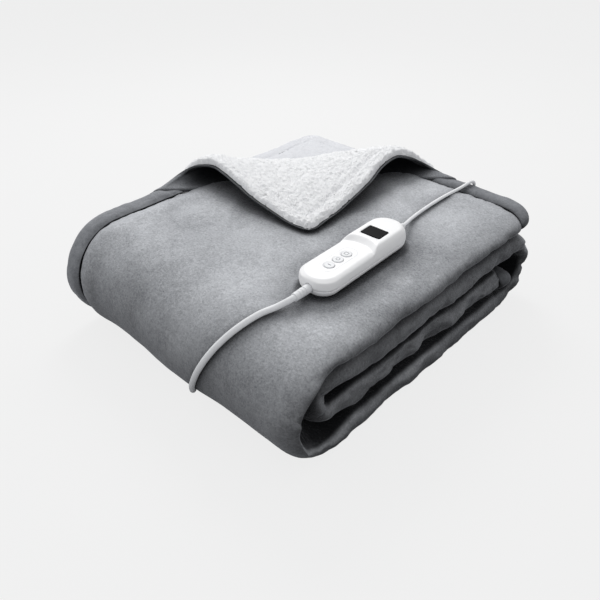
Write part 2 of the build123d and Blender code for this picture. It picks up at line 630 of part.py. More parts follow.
def coupler_body():
    """Grip and nose, with pockets above and below for the latch buttons."""
    body = bar_x(0.4, 36.0, width=13.0, height=20.0, radius=4.0)
    body += bar_x(-11.5, 1.4, width=9.0, height=14.0, radius=2.0)
    for z in CONTACT_Z:
        body -= cyl_x(1.55, -12.5, -1.0, z=z)
    body -= cyl_x(LEAD_R + 0.1, 20.0, 50.0)
    for side in (-1, 1):
        body -= Pos(LATCH_X, 0, side * 9.0) * Box(13.0, 8.4, 6.4)
    return body


def coupler_contact(z):
    return cyl_x(1.5, -11.2, -1.2, z=z) - cyl_x(0.95, -12.0, -3.0, z=z)


def coupler_boot():
    boot = loft([circle_x(5.2, 36.3), circle_x(2.9, 51.0)])
    boot -= cyl_x(LEAD_R + 0.1, 30.0, 60.0)
    for k in range(3):
        x = 40.5 + 3.4 * k
        boot -= cyl_x(7.0, x - 0.6, x + 0.6) - cyl_x(LEAD_R + 0.7, x - 1, x + 1)
    return boot


def latch_button(side):
    button = Pos(LATCH_X, 0, side * 9.4) * Box(12.6, 8.0, 4.0)
    return fillet(button.edges().filter_by(Axis.Z), 1.2)


save("socket_housing", SOCK * socket_housing())
save_group("socket_contacts", [cyl_x(0.8, -19.5, -4.0, z=z) for z in CONTACT_Z], SOCK)
save("coupler_body", SOCK * coupler_body() - lead_room)
save_group("coupler_contacts", [coupler_contact(z) for z in CONTACT_Z], SOCK)
save("coupler_boot", SOCK * coupler_boot() - lead_room)
save("latch_button_upper", SOCK * latch_button(1))
save("latch_button_lower", SOCK * latch_button(-1))
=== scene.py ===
# A heated throw, grey plush outside and white sherpa inside, folded into a stack on the floor.
# X runs across the stack, Y along it and Z up, with the floor at z = 0. The folded long side
# faces +X, the free long edge -X, and the top run ends at +Y. The corner at -X +Y is turned
# back over the top. The controller lies on top near +X; its mains cable drops over the -Y
# turn and runs round to the -X side, and its lead drops over the +Y end.
# Shapes are worked out in millimetres and stored in metres.
import itertools
import json
import math

import bpy
import bmesh
import numpy as np
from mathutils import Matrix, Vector, kdtree

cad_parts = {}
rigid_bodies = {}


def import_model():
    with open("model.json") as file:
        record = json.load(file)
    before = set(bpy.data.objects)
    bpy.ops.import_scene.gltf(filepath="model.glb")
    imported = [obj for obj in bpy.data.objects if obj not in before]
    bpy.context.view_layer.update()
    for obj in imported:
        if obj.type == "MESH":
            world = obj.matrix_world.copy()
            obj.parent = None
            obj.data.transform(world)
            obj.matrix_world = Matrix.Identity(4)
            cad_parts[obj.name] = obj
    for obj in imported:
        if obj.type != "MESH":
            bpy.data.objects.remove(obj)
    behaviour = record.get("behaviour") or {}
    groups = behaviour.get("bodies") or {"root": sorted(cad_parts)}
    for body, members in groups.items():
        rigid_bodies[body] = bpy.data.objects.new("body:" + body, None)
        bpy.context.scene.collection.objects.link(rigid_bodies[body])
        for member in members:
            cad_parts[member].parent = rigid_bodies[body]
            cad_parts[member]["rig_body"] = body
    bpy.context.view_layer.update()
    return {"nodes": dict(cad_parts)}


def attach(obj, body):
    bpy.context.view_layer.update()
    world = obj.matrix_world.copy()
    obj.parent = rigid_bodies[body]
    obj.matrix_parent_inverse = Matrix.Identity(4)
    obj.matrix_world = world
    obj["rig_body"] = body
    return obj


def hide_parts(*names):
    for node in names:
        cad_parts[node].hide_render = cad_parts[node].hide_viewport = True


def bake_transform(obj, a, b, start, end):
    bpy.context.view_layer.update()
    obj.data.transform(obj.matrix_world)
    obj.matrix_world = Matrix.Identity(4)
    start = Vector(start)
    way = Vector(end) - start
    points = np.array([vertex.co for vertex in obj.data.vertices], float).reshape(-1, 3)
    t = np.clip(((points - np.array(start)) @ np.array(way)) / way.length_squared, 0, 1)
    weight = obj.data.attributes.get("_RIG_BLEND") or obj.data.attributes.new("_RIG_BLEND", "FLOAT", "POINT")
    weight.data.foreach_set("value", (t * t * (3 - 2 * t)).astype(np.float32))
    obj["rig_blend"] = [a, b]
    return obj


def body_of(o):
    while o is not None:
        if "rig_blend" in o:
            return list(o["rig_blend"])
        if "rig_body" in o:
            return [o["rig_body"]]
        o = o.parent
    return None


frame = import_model()

NODES = frame["nodes"]

# ---------------------------------------------------------------- dimensions (mm)
HALF_WIDTH = 159.0
RUN_PITCH = 29.0                        # height taken by one run of the folded sheet
HALF_RUN = RUN_PITCH / 2
STACK_HEIGHT = 4 * RUN_PITCH
GAP = 0.4                               # between neighbouring runs
PLY = 7.0
HEM = 21.0
OUTER_N = RUN_PITCH - GAP               # outer skin, above a run's lower side
HALF_LENGTH = 192.0
END_Y = 175.0                           # free end of the top run
OUTER_TURN_Y = -HALF_LENGTH + 2 * RUN_PITCH
MIDDLE_TURN_Y = HALF_LENGTH - 1.5 * RUN_PITCH
INNER_TURN_Y = OUTER_TURN_Y + 1.5
INNER_END_Y = MIDDLE_TURN_Y - 1.0

# The roll: top run, outer turn, bottom run, middle turn, third run, inner turn, inner run
RUN_LENGTHS = [
    END_Y - OUTER_TURN_Y,
    math.pi * (RUN_PITCH + HALF_RUN),
    MIDDLE_TURN_Y - OUTER_TURN_Y,
    math.pi * RUN_PITCH,
    MIDDLE_TURN_Y - INNER_TURN_Y,
    math.pi * HALF_RUN,
    INNER_END_Y - INNER_TURN_Y,
]
RUN_STARTS = np.concatenate([[0.0], np.cumsum(RUN_LENGTHS)])
ROLL_END = RUN_STARTS[7]

DIAGONAL = math.sqrt(0.5)
CREASE = np.array([-70.5 + 3.0 * DIAGONAL, 70.5 + 3.0 * DIAGONAL])    # middle of the corner's fold
HINGE_Z = STACK_HEIGHT - GAP - PLY / 2 + 13.0

CONTROLLER_X, CONTROLLER_Y = 93.3, -43.5
CONTROLLER_TURN = math.radians(2.3)
CONTROLLER_BASE = STACK_HEIGHT + GAP
CONTROLLER_HALF_WIDTH, CONTROLLER_HALF_LENGTH = 19.0, 62.5


# ---------------------------------------------------------------- numeric helpers
def lattice_value(cell, seed):
    """A repeatable value in -1..1 for each whole-numbered cell."""
    i, j, k = np.moveaxis(cell, -1, 0)
    h = (i * 374761393 + j * 668265263 + k * 2147483629 + seed * 1274126177) & 0xFFFFFFFF
    h = ((h ^ (h >> 13)) * 1274126177) & 0xFFFFFFFF
    h = h ^ (h >> 16)
    return (h & 0xFFFF) / 32767.5 - 1.0


def noise(points, scale, seed):
    """Smooth value noise in -1..1; points is (..., 3) in mm."""
    scaled = np.asarray(points, float) / scale
    floor = np.floor(scaled)
    cell = floor.astype(np.int64)
    part = scaled - floor
    part = part * part * part * (part * (part * 6 - 15) + 10)
    total = 0.0
    for corner in itertools.product((0, 1), repeat=3):
        weight = np.where(corner, part, 1 - part).prod(-1)
        total = total + weight * lattice_value(cell + np.array(corner), seed)
    return total


def layers(points, *parts):
    """Sum of noises, each given as (height, scale, seed)."""
    return sum(height * noise(points, scale, seed) for height, scale, seed in parts)


def ridged(points, scale, seed):
    """Noise with sharp crests at 1."""
    return 1 - np.abs(noise(points, scale, seed))


def flat(a, b, c=0.0):
    a, b = np.broadcast_arrays(np.asarray(a, float), np.asarray(b, float))
    return np.stack([a, b, np.zeros_like(a) + c], -1)


def smooth(x, low, high):
    part = np.clip((x - low) / (high - low), 0, 1)
    return part * part * (3 - 2 * part)


def gauss(x, width):
    return np.exp(-(x / width) ** 2)


def signed_power(value, power):
    return np.sign(value) * np.abs(value) ** power


def path_lengths(points):
    """Distance from the start to each point of a polyline."""
    steps = np.linalg.norm(np.diff(points, axis=0), axis=1)
    return np.concatenate([[0], np.cumsum(steps)])


def hermite(x, stations, rows):
    """Cubic through the rows at the stations, with one result row for each x."""
    stations, rows = np.array(stations, float), np.array(rows, float)
    slope = np.gradient(rows, stations, axis=0)
    k = np.clip(np.searchsorted(stations, x, side="right") - 1, 0, len(stations) - 2)
    width = stations[k + 1] - stations[k]
    f = (x - stations[k]) / width
    shape = (-1,) + (1,) * (rows.ndim - 1)
    f, width = f.reshape(shape), width.reshape(shape)
    return ((2 * f ** 3 - 3 * f ** 2 + 1) * rows[k]
            + (f ** 3 - 2 * f ** 2 + f) * width * slope[k]
            + (-2 * f ** 3 + 3 * f ** 2) * rows[k + 1]
            + (f ** 3 - f ** 2) * width * slope[k + 1])


def evenly(points, count):
    """The polyline smoothed and resampled to evenly spaced points."""
    points = np.array(points, float)
    lengths = path_lengths(points)
    fine = hermite(np.linspace(0, lengths[-1], 600), lengths, points)
    lengths = path_lengths(fine)
    wanted = np.linspace(0, 1, count) * lengths[-1]
    return np.stack([np.interp(wanted, lengths, fine[:, k]) for k in range(3)], 1)


def search_tree(points):
    tree = kdtree.KDTree(len(points))
    for i, point in enumerate(points):
        tree.insert(point, i)
    tree.balance()
    return tree


# ---------------------------------------------------------------- mesh helpers
def shade_smooth(mesh):
    mesh.polygons.foreach_set("use_smooth", [True] * len(mesh.polygons))


def mesh_object(name, vertices, faces, material):
    """A smooth-shaded object from millimetre points."""
    mesh = bpy.data.meshes.new(name)
    points = (np.asarray(vertices, float) * 0.001).tolist()
    mesh.from_pydata(points, [], [list(map(int, face)) for face in faces])
    mesh.validate()
    mesh.update()
    shade_smooth(mesh)
    piece = bpy.data.objects.new(name, mesh)
    bpy.context.scene.collection.objects.link(piece)
    mesh.materials.append(material)
    return piece


def weld(piece, distance):
    """Merges points closer than the distance (m) and turns the faces outwards."""
    bm = bmesh.new()
    bm.from_mesh(piece.data)
    bmesh.ops.remove_doubles(bm, verts=bm.verts, dist=distance)
    bmesh.ops.dissolve_degenerate(bm, edges=bm.edges, dist=distance / 2)
    bmesh.ops.recalc_face_normals(bm, faces=bm.faces)
    bm.to_mesh(piece.data)
    bm.free()
    shade_smooth(piece.data)
    piece.data.update()


def vertex_places(mesh):
    """Vertex coordinates in metres, one row each."""
    places = np.zeros(len(mesh.vertices) * 3)
    mesh.vertices.foreach_get("co", places)
    return places.reshape(-1, 3)


def set_values(piece, attribute, values):
    data = piece.data.attributes[attribute].data
    data.foreach_set("value", values.astype(np.float32))


def grid_faces(rows, columns, wrap=False, base=0, flip=False):
    row = np.arange(rows - 1)[:, None]
    column = np.arange(columns if wrap else columns - 1)[None, :]
    following = (column + 1) % columns
    a = base + row * columns + column
    b = base + row * columns + following
    c = base + (row + 1) * columns + following
    d = base + (row + 1) * columns + column
    return np.stack([a, d, c, b] if flip else [a, b, c, d], -1).reshape(-1, 4)


def grid_normals(grid):
    normals = np.cross(np.gradient(grid, axis=0), np.gradient(grid, axis=1))
    return normals / np.maximum(np.linalg.norm(normals, axis=-1, keepdims=True), 1e-9)


def closed_tube(name, rings, ends, material):
    """Skins a stack of rings and closes it on the two end points."""
    rows, columns = rings.shape[:2]
    vertices = np.concatenate([rings.reshape(-1, 3), ends])
    faces = list(grid_faces(rows, columns, wrap=True))
    first, last = rows * columns, (rows - 1) * columns
    for i in range(columns):
        j = (i + 1) % columns
        faces.append([first, j, i])
        faces.append([first + 1, last + i, last + j])
    piece = mesh_object(name, vertices, faces, material)
    weld(piece, 0.000001)
    return piece


def slab(name, middle, normals, up, down, edge, material, tuft=0.0, seed=0):
    """Closed pad round a middle surface, up and down from it, rounded by distance to the edge."""
    rounding = np.sqrt(1 - (1 - np.clip(edge / 3.6, 0, 1)) ** 2)
    top = middle + normals * (up * rounding)[..., None]
    if tuft:
        curls = (0.62 * ridged(top, 2.7, seed + 1) ** 2
                 + 0.55 * ridged(top, 4.4, seed + 2) ** 2 - 0.45)
        lift = tuft * curls + 0.25 * tuft * noise(top, 1.7, seed + 3)
        top = top + normals * (lift * np.clip(edge / 2.0, 0.25, 1))[..., None]
    bottom = middle - normals * (down * rounding)[..., None]
    rows, columns = middle.shape[:2]
    count = rows * columns
    index = np.arange(count).reshape(rows, columns)
    loop = np.concatenate([index[0, :], index[1:, -1], index[-1, -2::-1], index[-2:0:-1, 0]])
    after = np.roll(loop, -1)
    faces = np.concatenate([
        grid_faces(rows, columns),
        grid_faces(rows, columns, base=count, flip=True),
        np.stack([after, loop, loop + count, after + count], 1),
    ])
    vertices = np.concatenate([top.reshape(-1, 3), bottom.reshape(-1, 3)])
    piece = mesh_object(name, vertices, faces, material)
    weld(piece, 0.00001)
    return piece


# ---------------------------------------------------------------- frames of the pieces
def on_roll(x, n, t):
    """Carries a point x across and n off a run's lower side to the place t along the roll."""
    arrays = (np.asarray(value, float) for value in (x, n, t))
    x, n, t = np.broadcast_arrays(*arrays)
    run = np.clip(np.searchsorted(RUN_STARTS, t, side="right") - 1, 0, 6)
    d = t - RUN_STARTS[run]
    # the top run's end is rounded at its +X corner
    cut = 24.0 * (1 - np.sqrt(1 - np.clip((x - 118.0) / 43.0, 0, 1) ** 2))

    def arc(centre_y, centre_z, radius, angle):
        return centre_y - radius * np.sin(angle), centre_z + radius * np.cos(angle)

    middle = 2 * RUN_PITCH
    places = [
        (END_Y - d - cut * (1 - smooth(t, 0.0, 70.0)), STACK_HEIGHT - RUN_PITCH + n),
        arc(OUTER_TURN_Y, middle, RUN_PITCH + n, d / (RUN_PITCH + HALF_RUN)),
        (OUTER_TURN_Y + d, RUN_PITCH - n),
        arc(MIDDLE_TURN_Y, 1.5 * RUN_PITCH, -(HALF_RUN + n), d / RUN_PITCH),
        (MIDDLE_TURN_Y - d, middle + n),
        arc(INNER_TURN_Y, middle, n, d / HALF_RUN),
        (INNER_TURN_Y + d, middle - n),
    ]
    y, z = (np.choose(run, values) for values in zip(*places))
    return np.stack([x, y, z], -1)


def to_corner(x, y):
    """Corner coordinates: u from the throw's corner inwards, v along the fold towards +X +Y."""
    dx, dy = x - CREASE[0], y - CREASE[1]
    return (dx - dy) * DIAGONAL, (dx + dy) * DIAGONAL


def from_corner(u, v, z):
    return np.stack([CREASE[0] + (u + v) * DIAGONAL, CREASE[1] + (v - u) * DIAGONAL, z], -1)


def to_controller(points):
    c, s = math.cos(CONTROLLER_TURN), math.sin(CONTROLLER_TURN)
    x, y = points[..., 0] - CONTROLLER_X, points[..., 1] - CONTROLLER_Y
    return np.stack([x * c + y * s, -x * s + y * c, points[..., 2] - CONTROLLER_BASE], -1)


def from_controller(points):
    c, s = math.cos(CONTROLLER_TURN), math.sin(CONTROLLER_TURN)
    x, y, z = np.moveaxis(points, -1, 0)
    return np.stack([x * c - y * s + CONTROLLER_X, x * s + y * c + CONTROLLER_Y,
                     z + CONTROLLER_BASE], -1)


# ---------------------------------------------------------------- materials
class Nodes:
    """Short ways to add shader nodes to a tree."""

    def __init__(self, tree):
        self.tree = tree

    def feed(self, node, inputs):
        """Links each input that is given a socket and sets the others."""
        for key, value in inputs.items():
            if isinstance(value, bpy.types.NodeSocket):
                self.tree.links.new(value, node.inputs[key])
            else:
                node.inputs[key].default_value = value

    def add(self, kind, inputs={}, **settings):
        node = self.tree.nodes.new("ShaderNode" + kind)
        for key, value in settings.items():
            setattr(node, key, value)
        self.feed(node, inputs)
        return node

    def noise(self, scale, detail=2.0, roughness=0.5, distortion=0.0):
        return self.add("TexNoise", {
            "Scale": scale, "Detail": detail, "Roughness": roughness,
            "Distortion": distortion, "Vector": self.coordinates.outputs["Object"],
        }).outputs["Fac"]

    def math(self, operation, a, b):
        return self.add("Math", {0: a, 1: b}, operation=operation).outputs[0]

    def mix(self, factor, a, b, **settings):
        inputs = {"Factor": factor, "A": a, "B": b}
        return self.add("Mix", inputs, data_type="RGBA", **settings).outputs["Result"]

    def ramp(self, factor, stops):
        node = self.add("ValToRGB", {0: factor})
        elements = node.color_ramp.elements
        for element, (position, color) in ((elements[0], stops[0]), (elements[1], stops[-1])):
            element.position = position
            element.color = (*color, 1)
        for position, color in stops[1:-1]:
            elements.new(position).color = (*color, 1)
        return node.outputs[0]

    def bump(self, height, strength, distance, below=None):
        node = self.add("Bump", {"Strength": strength, "Distance": distance, "Height": height})
        if below is not None:
            self.feed(node, {"Normal": below})
        return node.outputs[0]


def new_material(name):
    material = bpy.data.materials.new(name)
    material.use_nodes = True
    nodes = Nodes(material.node_tree)
    nodes.tree.nodes.clear()
    nodes.output = nodes.add("OutputMaterial")
    nodes.surface = nodes.add("BsdfPrincipled")
    nodes.feed(nodes.output, {0: nodes.surface.outputs[0]})
    nodes.coordinates = nodes.add("TexCoord")
    return material, nodes


def srgb(*levels):
    """Linear colour from sRGB levels of 0 to 255; one level gives a grey."""
    if len(levels) == 1:
        levels = levels * 3
    shares = (level / 255 for level in levels)
    return tuple(c / 12.92 if c <= 0.04045 else ((c + 0.055) / 1.055) ** 2.4 for c in shares)


def fabric(name, *, dark, light, sheen, pile_scale, tuft_scale, pile_bump, tuft_bump,
           sheen_tint=(1, 1, 1), roughness=0.95, painted_shade_ramp=None, rim=0.0, shade=0.0,
           weights=(0.45, 0.35, 0.20), broad_scale=16.0):
    """Pile fabric coloured by pile, tuft and broad noise, mixed by weights.

    A ramp on the facing paints shade into the colour of faces turned from the key light, rim
    paints a lighter sheen on grazing faces, and shade is how strongly painted shade darkens folds and
    creases.
    """
    material, nodes = new_material(name)
    pile = nodes.noise(scale=pile_scale, detail=3.0, roughness=0.65, distortion=0.6)
    tuft = nodes.noise(scale=tuft_scale, detail=3.0, roughness=0.6, distortion=0.8)
    broad = nodes.noise(scale=broad_scale, distortion=1.2)
    factor = nodes.math("ADD", nodes.math("MULTIPLY", pile, weights[0]),
                        nodes.math("MULTIPLY", tuft, weights[1]))
    factor = nodes.math("ADD", factor, nodes.math("MULTIPLY", broad, weights[2]))
    color = nodes.ramp(factor, [(0.30, dark), (0.70, light)])
    if painted_shade_ramp is not None:
        # painted shade: faces turned from a direction close to the key light's are darkened in the colour
        normal = nodes.add("NewGeometry").outputs["Normal"]
        painted_light_direction = (-0.62, 0.20, 0.76)
        facing = nodes.add("VectorMath", {0: normal, 1: painted_light_direction}, operation="DOT_PRODUCT")
        # the tufts break up the painted shade; the sum is then brought from -1..1 to 0..1
        ruffle = nodes.math("MULTIPLY", nodes.math("SUBTRACT", tuft, 0.5), 0.35)
        turned = nodes.math("ADD", facing.outputs["Value"], ruffle)
        turned = nodes.math("ADD", nodes.math("MULTIPLY", turned, 0.5), 0.5)
        shading = nodes.ramp(turned, [(position, (level,) * 3) for position, level in painted_shade_ramp])
        color = nodes.mix(1.0, color, shading, blend_type="MULTIPLY")
    if rim:
        # painted sheen: faces seen at a grazing angle are mixed towards a light grey in the colour, broken
        # up by the pile noise
        facing = nodes.add("LayerWeight", {"Blend": 0.5}).outputs["Facing"]
        painted_sheen = nodes.math("MULTIPLY", nodes.math("POWER", facing, 3.0), rim)
        fibres = nodes.math("ADD", nodes.math("MULTIPLY", pile, 1.2), 0.4)
        painted_sheen = nodes.math("MULTIPLY", painted_sheen, fibres)
        color = nodes.mix(painted_sheen, color, (*srgb(176, 178, 183), 1))
    if shade:
        # painted shade: ambient occlusion and the stored fold depth darken the colour towards near-black in
        # folds and creases
        open_air = nodes.add("AmbientOcclusion", {"Distance": 0.032}, samples=8)
        lit = nodes.math("POWER", open_air.outputs["AO"], shade)
        painted_shade_depth = nodes.add("Attribute", attribute_name="painted_fold_shade").outputs["Fac"]
        lit = nodes.math("MULTIPLY", lit, nodes.math("SUBTRACT", 1.0, painted_shade_depth))
        color = nodes.mix(lit, (*srgb(16, 17, 19), 1), color)
    normal = nodes.bump(tuft, strength=tuft_bump, distance=0.0022)
    normal = nodes.bump(pile, strength=pile_bump, distance=0.0009, below=normal)
    nodes.feed(nodes.surface, {
        "Base Color": color, "Roughness": roughness, "Specular IOR Level": 0.12,
        "Sheen Weight": sheen, "Sheen Roughness": 0.4, "Sheen Tint": (*sheen_tint, 1),
        "Normal": normal,
    })
    return material


def plastic(name, color, roughness, bump, grain, *, coat=0.0, spread=0.03, metallic=0.0,
            specular=0.5):
    """Fine-grained solid; spread is how far its colour drifts either way."""
    material, nodes = new_material(name)
    fine = nodes.noise(scale=grain)
    broad = nodes.noise(scale=60.0, detail=3.0, roughness=0.55)
    darker = tuple(c * (1 - spread) for c in color)
    lighter = tuple(min(1.0, c * (1 + spread)) for c in color)
    nodes.feed(nodes.surface, {
        "Base Color": nodes.ramp(broad, [(0.3, darker), (0.7, lighter)]),
        "Roughness": nodes.math("ADD", nodes.math("MULTIPLY", fine, 0.10), roughness - 0.05),
        "Metallic": metallic, "Specular IOR Level": specular,
        "Coat Weight": coat, "Coat Roughness": 0.12,
        "Normal": nodes.bump(fine, strength=bump, distance=0.0002),
    })
    return material


# (cosine to the direction of the painted light brought to 0..1, brightness of the painted shade)
PAINTED_SHADE_STOPS = [(0.12, 0.13), (0.26, 0.25), (0.42, 0.43), (0.55, 0.61), (0.70, 0.81), (0.81, 0.88),
       (0.89, 1.0)]
COOL_SHEEN = (0.92, 0.94, 1.0)
PLUSH_LOOK = dict(tuft_scale=170.0, tuft_bump=0.45, sheen_tint=COOL_SHEEN,
                  weights=(0.50, 0.12, 0.38), broad_scale=10.0)
HEM_LOOK = dict(dark=srgb(112, 114, 118), sheen=0.2, pile_scale=620.0, tuft_scale=150.0,
                pile_bump=0.7, tuft_bump=0.6, sheen_tint=COOL_SHEEN, rim=0.35, shade=1.6,
                weights=(0.4, 0.3, 0.3), broad_scale=60.0)

PLUSH = fabric("grey_flannel_plush", dark=srgb(138, 140, 144), light=srgb(228, 230, 234),
               sheen=0.25, pile_scale=560.0, pile_bump=1.0, painted_shade_ramp=PAINTED_SHADE_STOPS, rim=0.42, shade=2.6,
               **PLUSH_LOOK)
SIDE_HEM = fabric("grey_plush_side_hem", light=srgb(152, 154, 158), **HEM_LOOK)
END_HEM = fabric("grey_plush_end_hem", light=srgb(142, 144, 148), painted_shade_ramp=PAINTED_SHADE_STOPS, **HEM_LOOK)
# painted shade: a darker copy of the grey plush for the turned-back corner's underside
SHADED_UNDERSIDE = fabric("grey_plush_underside_painted_shade", dark=srgb(112, 114, 118), light=srgb(168, 170, 174),
                   sheen=0.10, pile_scale=620.0, pile_bump=0.7, rim=0.10, shade=5.0,
                   **PLUSH_LOOK)
SHERPA = fabric("white_sherpa_pile", dark=srgb(238, 239, 241), light=srgb(254, 254, 255),
                sheen=0.25, pile_scale=640.0, tuft_scale=300.0, pile_bump=0.75, tuft_bump=0.7)
BRUSHED_SHERPA = fabric("pale_sherpa_brushed", dark=srgb(206, 207, 211),
                        light=srgb(224, 225, 229), sheen=0.1, pile_scale=700.0,
                        tuft_scale=260.0, pile_bump=0.5, tuft_bump=0.3)
SATIN = fabric("woven_satin_label", dark=srgb(228), light=srgb(240), sheen=0.1,
               pile_scale=2200.0, tuft_scale=900.0, pile_bump=0.3, tuft_bump=0.2, roughness=0.5)

# name, sRGB levels, roughness, grain bump, grain scale, other settings
SOLID_TABLE = [
    ("satin_white_moulding", (253, 253, 254), 0.42, 0.06, 2600.0, dict(coat=0.06, spread=0.012)),
    ("soft_touch_keys", (238, 239, 241), 0.48, 0.08, 3200.0, dict(spread=0.015)),
    ("printed_grey_marks", (120, 124, 130), 0.5, 0.05, 3200.0, {}),
    ("smoked_display_window", (6, 6, 8), 0.42, 0.01, 900.0, dict(spread=0.05, specular=0.05)),
    ("display_frame", (96, 98, 102), 0.45, 0.05, 2600.0, {}),
    ("pvc_cable_sheath", (244, 245, 247), 0.42, 0.10, 1500.0, dict(spread=0.02)),
    ("flexible_pvc_boot", (238, 239, 241), 0.46, 0.12, 1800.0, dict(spread=0.02)),
    ("heat_resistant_sheath", (206, 202, 190), 0.5, 0.05, 2600.0, {}),
    ("solder_mask", (30, 92, 62), 0.35, 0.1, 1400.0, {}),
    ("moulded_epoxy", (46, 46, 48), 0.45, 0.2, 1800.0, {}),
    ("film_capacitor_case", (70, 110, 170), 0.35, 0.05, 2600.0, {}),
    ("drawn_can", (205, 207, 210), 0.3, 0.05, 900.0, dict(metallic=1.0)),
    ("zinc_plated_steel", (170, 172, 176), 0.32, 0.1, 900.0, dict(metallic=1.0)),
    ("tinned_contact", (205, 180, 120), 0.28, 0.05, 900.0, dict(metallic=1.0)),
    ("nickel_plated_pins", (208, 208, 210), 0.18, 0.04, 900.0, dict(metallic=1.0)),
    ("insulating_sleeve", (48, 48, 50), 0.42, 0.05, 2600.0, {}),
    ("latch_keys", (196, 198, 202), 0.42, 0.1, 2200.0, {}),
]
SOLIDS = {
    name: plastic(name, srgb(*levels), roughness, bump, grain, **others)
    for name, levels, roughness, bump, grain, others in SOLID_TABLE
}

# material: the CAD pieces made of it
CAD_MATERIALS = {
    "satin_white_moulding": ("socket_housing", "coupler_body", "controller_top_shell",
                             "controller_bottom_shell", "cable_clamps", "mains_plug_body"),
    "soft_touch_keys": ("power_button", "heat_button", "timer_button"),
    "smoked_display_window": ("display_window",),
    "display_frame": ("display_module",),
    "flexible_pvc_boot": ("coupler_boot", "mains_strain_relief", "lead_strain_relief"),
    "heat_resistant_sheath": ("heating_wire",),
    "solder_mask": ("circuit_board",),
    "moulded_epoxy": ("tact_switches", "triac", "control_chip"),
    "film_capacitor_case": ("dropper_capacitor",),
    "drawn_can": ("thermal_fuse", "smoothing_capacitor"),
    "zinc_plated_steel": ("case_screws",),
    "tinned_contact": ("wire_splices", "socket_contacts", "coupler_contacts"),
    "nickel_plated_pins": ("plug_pins",),
    "insulating_sleeve": ("pin_sleeves",),
    "latch_keys": ("latch_button_upper", "latch_button_lower"),
}
for material_name, cad_names in CAD_MATERIALS.items():
    for cad_name in cad_names:
        if cad_name in NODES:
            cad_mesh = NODES[cad_name].data
            cad_mesh.materials.clear()
            cad_mesh.materials.append(SOLIDS[material_name])


# ---------------------------------------------------------------- controller
DECK_Z = 18.0                           # key deck; the head stands higher, towards +Y
HEAD_RISE = 4.0
HEAD_ARC_Y, HEAD_ARC_RADIUS = -21.0, 30.0      # curved step between deck and head
KEY_TOP = 18.4
KEY_Y, KEY_PITCH = -24.0, 11.6          # middle key and spacing


def remeshed_copy(cad, name, voxel):
    copy = bpy.data.objects.new(name + "_tmp", cad.data.copy())
    bpy.context.scene.collection.objects.link(copy)
    copy.matrix_world = cad.matrix_world.copy()
    remesh = copy.modifiers.new("skin", "REMESH")
    remesh.mode = "VOXEL"
    remesh.voxel_size = voxel
    bpy.context.view_layer.update()
    evaluated = copy.evaluated_get(bpy.context.evaluated_depsgraph_get())
    mesh = bpy.data.meshes.new_from_object(evaluated)
    bpy.data.objects.remove(copy)
    return mesh


def shape_shell(p):
    """Bends shell points, in the controller's frame, to the moulded shape."""
    straight = CONTROLLER_HALF_LENGTH - CONTROLLER_HALF_WIDTH
    axis_y = np.clip(p[:, 1], -straight, straight)
    out_x, out_y = p[:, 0], p[:, 1] - axis_y
    radius = np.maximum(np.hypot(out_x, out_y), 1e-6)
    step_y = HEAD_ARC_Y + np.sqrt(HEAD_ARC_RADIUS ** 2 - np.clip(out_x, -25, 25) ** 2)
    head = smooth(p[:, 1], step_y - 1.0, step_y + 7.5)
    z = p[:, 2]
    z = np.where(z > DECK_Z, np.minimum(z, DECK_Z + HEAD_RISE * head + 0.02), z)
    # the upper edge is eased down towards the outline
    edge = smooth(radius, 14.0, 19.4) ** 2
    z = z - edge * np.clip((z - 13.0) / 5.0, 0, 1) * (1.5 - 0.4 * head)
    # the sides draw in towards the bottom, and a little towards the top
    draw = 4.6 * (1 - np.clip(z / 9.0, 0, 1)) ** 1.7 + 1.4 * smooth(z, 11.0, 21.0)
    scale = 1 - draw * smooth(radius, 8.0, 18.0) / CONTROLLER_HALF_WIDTH
    x, y = out_x * scale, axis_y + out_y * scale
    # the end of the head is a little rounder in plan
    x = x * (1 - 0.05 * np.clip((y - 44.0) / 18.5, 0, 1) ** 2)
    return np.stack([x, y, z], 1)


def relax(p, edges, passes):
    """Moves each point halfway to the mean of its neighbours, for a number of passes."""
    neighbours = np.bincount(edges.ravel(), minlength=len(p)).astype(float)[:, None]
    start, end = edges.T
    for _ in range(passes):
        total = np.stack([np.bincount(start, p[end, axis], len(p))
                          + np.bincount(end, p[start, axis], len(p)) for axis in range(3)], 1)
        p = p * 0.5 + 0.5 * total / np.maximum(neighbours, 1)
    return p


def build_shell(cad_name, name, voxel):
    cad = NODES[cad_name]
    mesh = remeshed_copy(cad, name, voxel)
    matrix = np.array(cad.matrix_world)
    places = vertex_places(mesh) @ matrix[:3, :3].T + matrix[:3, 3]
    edges = np.zeros(len(mesh.edges) * 2, int)
    mesh.edges.foreach_get("vertices", edges)
    p = relax(shape_shell(to_controller(places * 1000)), edges.reshape(-1, 2), passes=14)
    p[:, 2] = np.maximum(p[:, 2], 0.0)
    mesh.vertices.foreach_set("co", (from_controller(p) * 0.001).ravel())
    shade_smooth(mesh)
    mesh.materials.clear()
    mesh.materials.append(SOLIDS["satin_white_moulding"])
    mesh.name = name
    shell = bpy.data.objects.new(name, mesh)
    bpy.context.scene.collection.objects.link(shell)
    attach(shell, body_of(cad)[0])
    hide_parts(cad_name)


